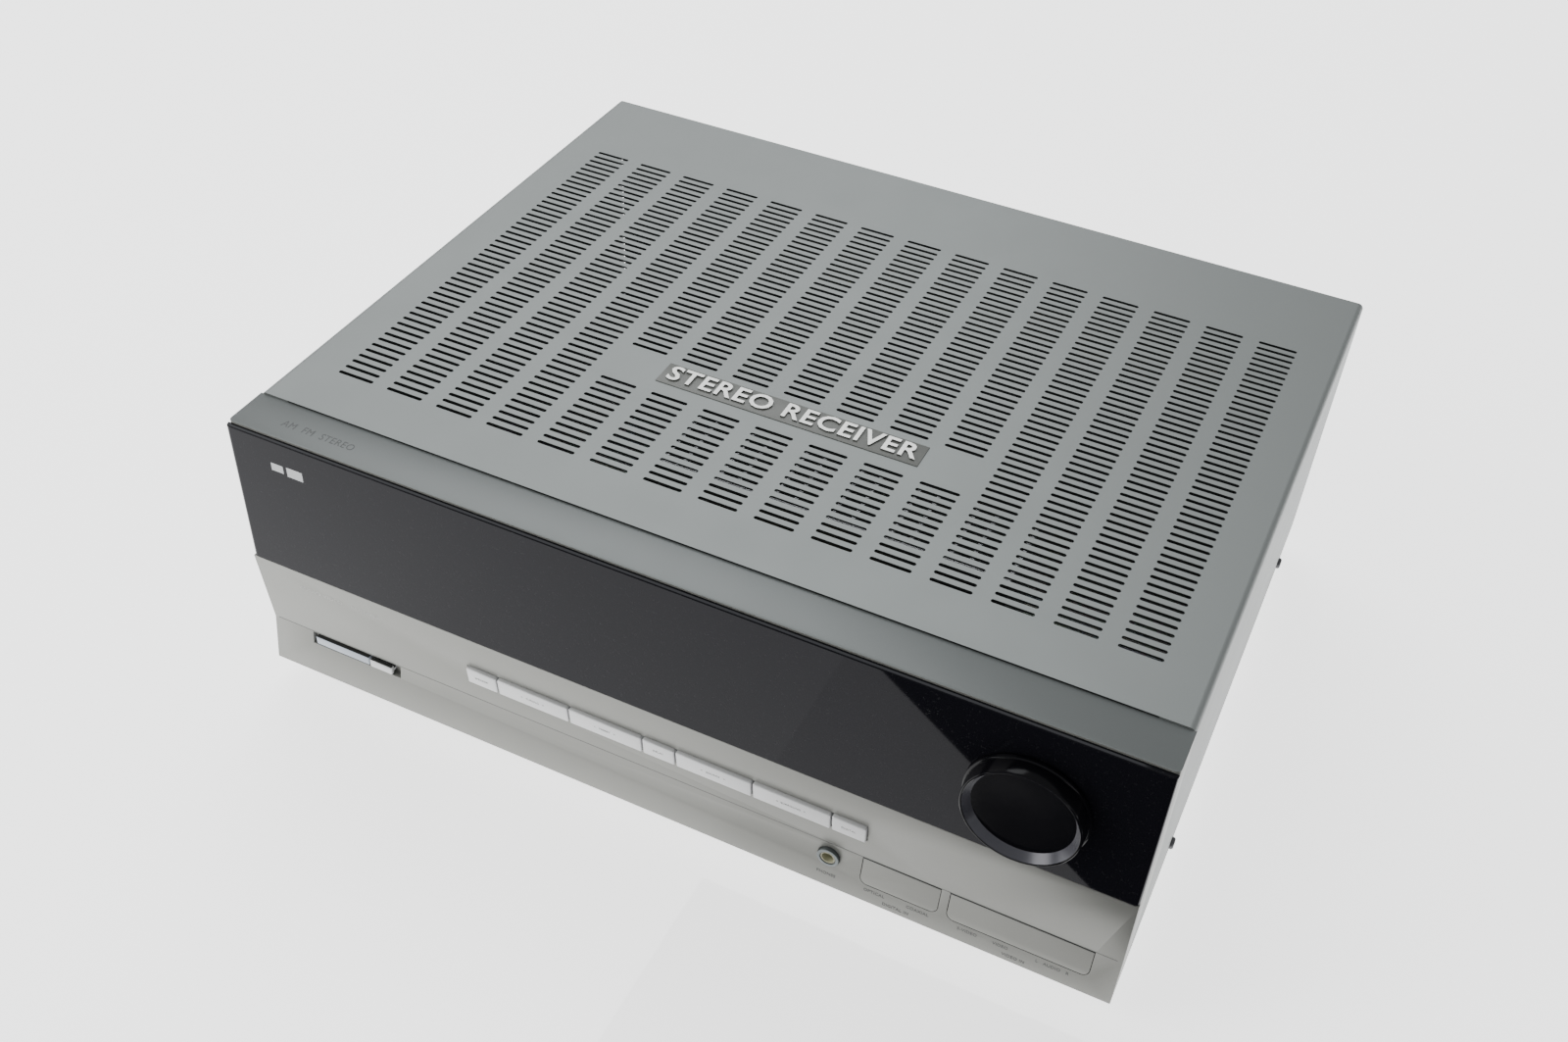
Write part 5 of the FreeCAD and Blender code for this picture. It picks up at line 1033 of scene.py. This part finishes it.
# %% [markdown]
# ## Screws
#
# A pan-head screw has a domed head with a cross recess. A dark cross painted on would do from
# afar, but the recess is quick to make: a plus-shaped face is bridged to the round edge of the
# head and then pushed in. The places and directions come from the CAD screws: each loose island
# of their mesh is one screw, and its wide end is the head.

# %% Find the separate solids of a CAD part
def islands(name):
    """The corner points of each separate solid of a CAD part."""
    mesh = bmesh.new()
    mesh.from_mesh(nodes[name].data)
    bmesh.ops.remove_doubles(mesh, verts=mesh.verts, dist=2e-6)
    left = set(mesh.verts)
    found = []
    while left:
        edge_of_search = [left.pop()]
        group = []
        while edge_of_search:
            corner = edge_of_search.pop()
            group.append(corner.co.copy())
            near = {edge.other_vert(corner) for edge in corner.link_edges} & left
            left -= near
            edge_of_search.extend(near)
        found.append(group)
    mesh.free()
    return found


print(len(islands("case_screws")), "case screws")


# %% Screws with cross recesses
HEAD_RADIUS = 0.003
HEAD_HEIGHT = 0.0018
SHANK_RADIUS = 0.0015
CROSS_ARM = 0.0016
CROSS_HALF = 0.00034
CROSS_DEEP = 0.0009


def cross_head(length):
    """A screw along +Z: its head on top from zero up, its shank below."""
    mesh = spun([(0, -length), (SHANK_RADIUS, -length), (SHANK_RADIUS, 0), (HEAD_RADIUS, 0),
                 (HEAD_RADIUS, HEAD_HEIGHT - 0.0008), (HEAD_RADIUS - 0.0002, HEAD_HEIGHT - 0.0004),
                 (HEAD_RADIUS - 0.0007, HEAD_HEIGHT)], (0, 0, 0), (0, 0, 1), 24)
    rim = [edge for edge in mesh.edges if edge.is_boundary]
    corners = []
    for quarter in range(4):
        turn = Matrix.Rotation(quarter * math.pi / 2, 3, "Z")
        for x, y in ((CROSS_HALF, CROSS_HALF), (CROSS_HALF, CROSS_ARM), (-CROSS_HALF, CROSS_ARM)):
            corners.append(mesh.verts.new(turn @ Vector((x, y, HEAD_HEIGHT))))
    cross = mesh.faces.new(corners)
    bmesh.ops.bridge_loops(mesh, edges=rim + list(cross.edges))
    pushed = bmesh.ops.extrude_face_region(mesh, geom=[cross])["geom"]
    moved = [item for item in pushed if isinstance(item, bmesh.types.BMVert)]
    bmesh.ops.translate(mesh, vec=(0, 0, -CROSS_DEEP), verts=moved)
    if cross.is_valid:
        bmesh.ops.delete(mesh, geom=[cross], context="FACES_ONLY")
    bmesh.ops.recalc_face_normals(mesh, faces=mesh.faces)
    return mesh


def cross_screws(name):
    """Every screw of a CAD part, remade with a cross recess."""
    screws = []
    for group in islands(name):
        low = Vector([min(point[i] for point in group) for i in range(3)])
        high = Vector([max(point[i] for point in group) for i in range(3)])
        spread = high - low
        way = max(range(3), key=lambda i: spread[i])
        middle = (low + high) / 2
        lean = sum((point[way] - middle[way]) * ((point - middle).length ** 2 - (point - middle)[way] ** 2)
                   for point in group)
        up = 1 if lean > 0 else -1
        axis = Vector((0, 0, 0))
        axis[way] = up
        seat = middle.copy()
        seat[way] = (high[way] if up > 0 else low[way]) - up * HEAD_HEIGHT
        screw = cross_head(spread[way] - HEAD_HEIGHT)
        bmesh.ops.transform(screw, matrix=Matrix.Translation(seat) @ turn_to(axis), verts=screw.verts)
        screws.append(screw)
    print(name, len(screws), "screws")
    finished(name + "_finished", joined(screws), finishes["screw_steel"], "case", (name,))


cross_screws("case_screws")

# %% [markdown]
# ## Sockets, pins and print at the back
#
# The multi-pin sockets get their small holes and the mains inlet its metal pins, all as solid
# pieces set into the CAD parts. The print names each group in plain words, with a ruled line round the
# audio, the video and the digital fields, and each row and column has its letter or number.

# %% Pins of the sockets
PIN_HOLE = [(0, 0.0), (0.0005, 0.0), (0.0005, 0.00005), (0, 0.00005)]
holes = []
for index in range(1, 5):
    spot = Vector(mounts[f"s_video_{index}"]["pos_m"])
    for dx, dz in ((-0.0022, 0.0006), (0.0022, 0.0006), (-0.0012, 0.0026), (0.0012, 0.0026)):
        holes.append(spun(PIN_HOLE, (spot.x + dx, panel_back - 0.0034, spot.z + dz), (0, 1, 0), 12))
print(len(holes), "pin holes")
# The pin holes are solid dark discs in the shadow finish: painted shade where each hole would show only its
# dark inside.
finished("svideo_pin_holes", joined(holes), extra["shadow"], "case")

inlet_low, inlet_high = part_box("mains_inlet")
inlet_x = (inlet_low.x + inlet_high.x) / 2
inlet_z = (inlet_low.z + inlet_high.z) / 2
blades = []
for dx, dz in ((-0.007, -0.0015), (0, 0.0015), (0.007, -0.0015)):
    low = (inlet_x + dx - 0.00105, panel_back - 0.0178, inlet_z + dz - 0.00205)
    high = (inlet_x + dx + 0.00105, panel_back - 0.00195, inlet_z + dz + 0.00205)
    blades.append(block(low, high, 0.0003))
finished("inlet_blades", joined(blades), finishes["nickel"], "case")

# %% Print on the rear panel
REAR_UP = (0, 0, 1)
REAR_OUT = (0, 1, 0)


def rear_words(text, x, z, height=0.0019, y=panel_back):
    """Words on the rear panel, or on a plate that stands on it."""
    return words_mesh(text, height, surface_at(x, y + 0.00001, z, REAR_UP, REAR_OUT))


def ruled(left, right, low, high, thick=0.00035):
    """Four thin strips round an area of the rear panel."""
    strips = []
    for x0, x1, z0, z1 in ((left, right, low, low + thick), (left, right, high - thick, high),
                           (left, left + thick, low, high), (right - thick, right, low, high)):
        strips.append(block((x0, panel_back - 0.00002, z0), (x1, panel_back + 0.00005, z1)))
    return strips


audio_spots = [mount_centre(f"audio_{i}_left") for i in range(1, 9)]
video_spots = [mount_centre(f"video_{i}") for i in range(1, 6)]
row_top = audio_spots[0].z
row_low = mount_centre("audio_1_right").z
fm = mount_centre("fm_antenna")
am = mount_centre("am_antenna")
coaxial = mount_centre("coaxial_digital")
optical = mount_centre("optical_1")
ABOVE = 0.0096
rear_print = []
for index, spot in enumerate(audio_spots):
    title = f"IN {index + 1}" if index < 5 else f"OUT {index - 4}"
    rear_print.append(rear_words(title, spot.x, row_top + ABOVE))
for index, spot in enumerate(video_spots):
    rear_print.append(rear_words(f"V {index + 1}", spot.x, row_top + ABOVE))
panel_words = [
    ("L", audio_spots[-1].x - 0.0112, row_top, 0.0022),
    ("R", audio_spots[-1].x - 0.0112, row_low, 0.0022),
    ("AUDIO", (audio_spots[0].x + audio_spots[-1].x) / 2, row_low - 0.0115, 0.0026),
    ("VIDEO", (video_spots[0].x + video_spots[-1].x) / 2, row_low - 0.0115, 0.0026),
    ("S-VIDEO", video_spots[-1].x, row_low, 0.0018),
    ("OPTICAL", optical.x, row_top + ABOVE, 0.0019),
    ("COAXIAL", coaxial.x, coaxial.z - ABOVE, 0.0019),
    ("DIGITAL IN", coaxial.x, coaxial.z - 0.0135, 0.0022),
    ("FM", fm.x, fm.z + 0.0098, 0.0022),
    ("AM", am.x, am.z + 0.0112, 0.0022),
    ("ANTENNA", am.x, am.z - 0.0125, 0.0022),
    ("AC IN", inlet_x, inlet_high.z + 0.004, 0.0026),
]
for text, x, z, height in panel_words:
    rear_print.append(rear_words(text, x, z, height))
terminal_low, terminal_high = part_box("speaker_terminal_block")
plate_y = terminal_high.y
CHANNELS = {"front_left": "FRONT L", "front_right": "FRONT R", "centre": "CENTER",
            "surround_left": "SURR L", "surround_right": "SURR R"}
rear_print.append(rear_words("SPEAKERS", (terminal_low.x + terminal_high.x) / 2,
                             terminal_high.z + 0.004, 0.0028))
for channel, title in CHANNELS.items():
    minus = Vector(mounts[channel + "_minus_post"]["pos_m"])
    plus = Vector(mounts[channel + "_plus_post"]["pos_m"])
    rear_print.append(rear_words(title, plus.x, terminal_high.z - 0.0028, 0.0019, y=plate_y))
    rear_print.append(rear_words("+", plus.x - 0.0095, plus.z, 0.0030, y=plate_y))
    rear_print.append(rear_words("-", minus.x - 0.0095, minus.z, 0.0030, y=plate_y))
FIELD_TOP = row_top + 0.0125
FIELD_LOW = row_low - 0.0145
MARGIN = 0.0105
rear_print += ruled(audio_spots[-1].x - 0.0142, audio_spots[0].x + MARGIN, FIELD_LOW, FIELD_TOP)
rear_print += ruled(video_spots[-1].x - MARGIN, video_spots[0].x + MARGIN, FIELD_LOW, FIELD_TOP)
rear_print += ruled(coaxial.x - MARGIN, coaxial.x + MARGIN, coaxial.z - 0.0165, FIELD_TOP)
print(len(rear_print), "words and rules on the rear panel")
finished("rear_print", joined(rear_print), extra["rear_print"], "case")

# %% [markdown]
# ## Floor, light and camera
#
# The receiver stands on a plain pale floor under soft studio light. The camera looks down on it
# from the front right. A black card lies flat in front, below the window: a mirror-like window
# shows what stands before it, and the card gives its right end the deep black of a dark room
# while the left end mirrors the pale floor. Only glossy rays see the black card. A pale floor also
# throws light up on the silver face, evenly from end to end. A grey card to the right, which only
# diffuse rays see, takes part of that light away, so the face falls off towards its right end.

# %% Floor
def plain_sheet(name, corners, finish):
    """A flat stage sheet from its corner points."""
    mesh = bmesh.new()
    mesh.faces.new([mesh.verts.new(corner) for corner in corners])
    bmesh.ops.recalc_face_normals(mesh, faces=mesh.faces)
    data = bpy.data.meshes.new(name)
    mesh.to_mesh(data)
    mesh.free()
    data.materials.append(finish.material)
    sheet = bpy.data.objects.new(name, data)
    bpy.context.scene.collection.objects.link(sheet)
    return sheet


def floor_white():
    """The pale floor, lit a little from within so that it stays bright round the case."""
    finish = Finish("floor_white", (0.86, 0.86, 0.855), 0.6, Emission_Strength=1.9)
    finish.set("Emission Color", (1.0, 1.0, 1.0, 1.0))
    finish.speckle(0.2, (0.88, 0.88, 0.875), 40.0)
    return finish.rough(0.6, 0.1, 8.0)


FAR = 4.0
plain_sheet("studio_floor", [(-FAR, -FAR, 0), (FAR, -FAR, 0), (FAR, FAR, 0), (-FAR, FAR, 0)], floor_white())
print("floor", 2 * FAR, "m across")

# %% Black card and grey card
card_finish = moulded("black_card", (0.004, 0.004, 0.004), 0.9, 0.0)
NEAR_END = Vector((0.0507, -0.3302, 0.0006))
FAR_END = Vector((0.1897, -0.2490, 0.0006))
CARD_RUN = 1.2
CARD_WIDE = 1.6
along = (FAR_END - NEAR_END).normalized()
outward = Vector((along.y, -along.x, 0))
start = NEAR_END - along * CARD_RUN
stop = FAR_END + along * CARD_RUN
card_corners = [start, stop, stop + outward * CARD_WIDE, start + outward * CARD_WIDE]
card = plain_sheet("black_card", card_corners, card_finish)
card.visible_diffuse = False
grey_finish = moulded("grey_card", (0.05, 0.05, 0.05), 0.9, 0.0)
GREY_LEFT, GREY_RIGHT, GREY_NEAR, GREY_FAR, GREY_UP = 0.03, 1.6, -1.6, FACE - 0.012, 0.0004
grey_corners = [(GREY_LEFT, GREY_NEAR, GREY_UP), (GREY_RIGHT, GREY_NEAR, GREY_UP),
                (GREY_RIGHT, GREY_FAR, GREY_UP), (GREY_LEFT, GREY_FAR, GREY_UP)]
grey_card = plain_sheet("grey_card", grey_corners, grey_finish)
grey_card.visible_glossy = False
for sheet in (card, grey_card):
    sheet.visible_camera = False
    sheet.visible_shadow = False
    sheet.visible_transmission = False
    print(sheet.name, "lies out of the camera's sight")

# %% Light
world = bpy.data.worlds.new("studio")
bpy.context.scene.world = world
world.use_nodes = True
background = world.node_tree.nodes["Background"]
background.inputs["Color"].default_value = (0.97, 0.985, 1.0, 1)
background.inputs["Strength"].default_value = 0.55


def soft_light(name, place, aim, size, power, color=(1, 1, 1)):
    """A square area light that looks at a point."""
    light = bpy.data.lights.new(name, "AREA")
    light.size = size
    light.energy = power
    light.color = color
    holder = bpy.data.objects.new(name, light)
    bpy.context.scene.collection.objects.link(holder)
    holder.location = place
    holder.rotation_euler = (Vector(aim) - Vector(place)).to_track_quat("-Z", "Y").to_euler()
    return holder


soft_light("back_left", (-1.1, 1.5, 2.3), (0, 0, 0.1), 2.4, 62.0, (0.95, 0.98, 1.0))
soft_light("front_left", (-1.7, -1.2, 1.2), (-0.1, -0.1, 0.05), 1.2, 26.0, (1.0, 0.99, 0.97))
print(len(bpy.data.lights), "soft lights")

# %% Camera
camera_data = bpy.data.cameras.new("camera")
camera = bpy.data.objects.new("camera", camera_data)
bpy.context.scene.collection.objects.link(camera)
bpy.context.scene.camera = camera
HEADING = math.radians(23.54)
TILT = math.radians(90 - 41.33)
ROLL = math.radians(3.25)
CAMERA_PLACE = (0.2428, -0.61094, 0.63352)
FOCAL_LENGTH = 38.18
aim = Matrix.Rotation(HEADING, 3, "Z") @ Matrix.Rotation(TILT, 3, "X") @ Matrix.Rotation(ROLL, 3, "Z")
camera.location = CAMERA_PLACE
camera.rotation_euler = aim.to_euler()
camera_data.sensor_width = 36.0
camera_data.lens = FOCAL_LENGTH
camera_data.clip_start = 0.01
print("camera", FOCAL_LENGTH, "mm")
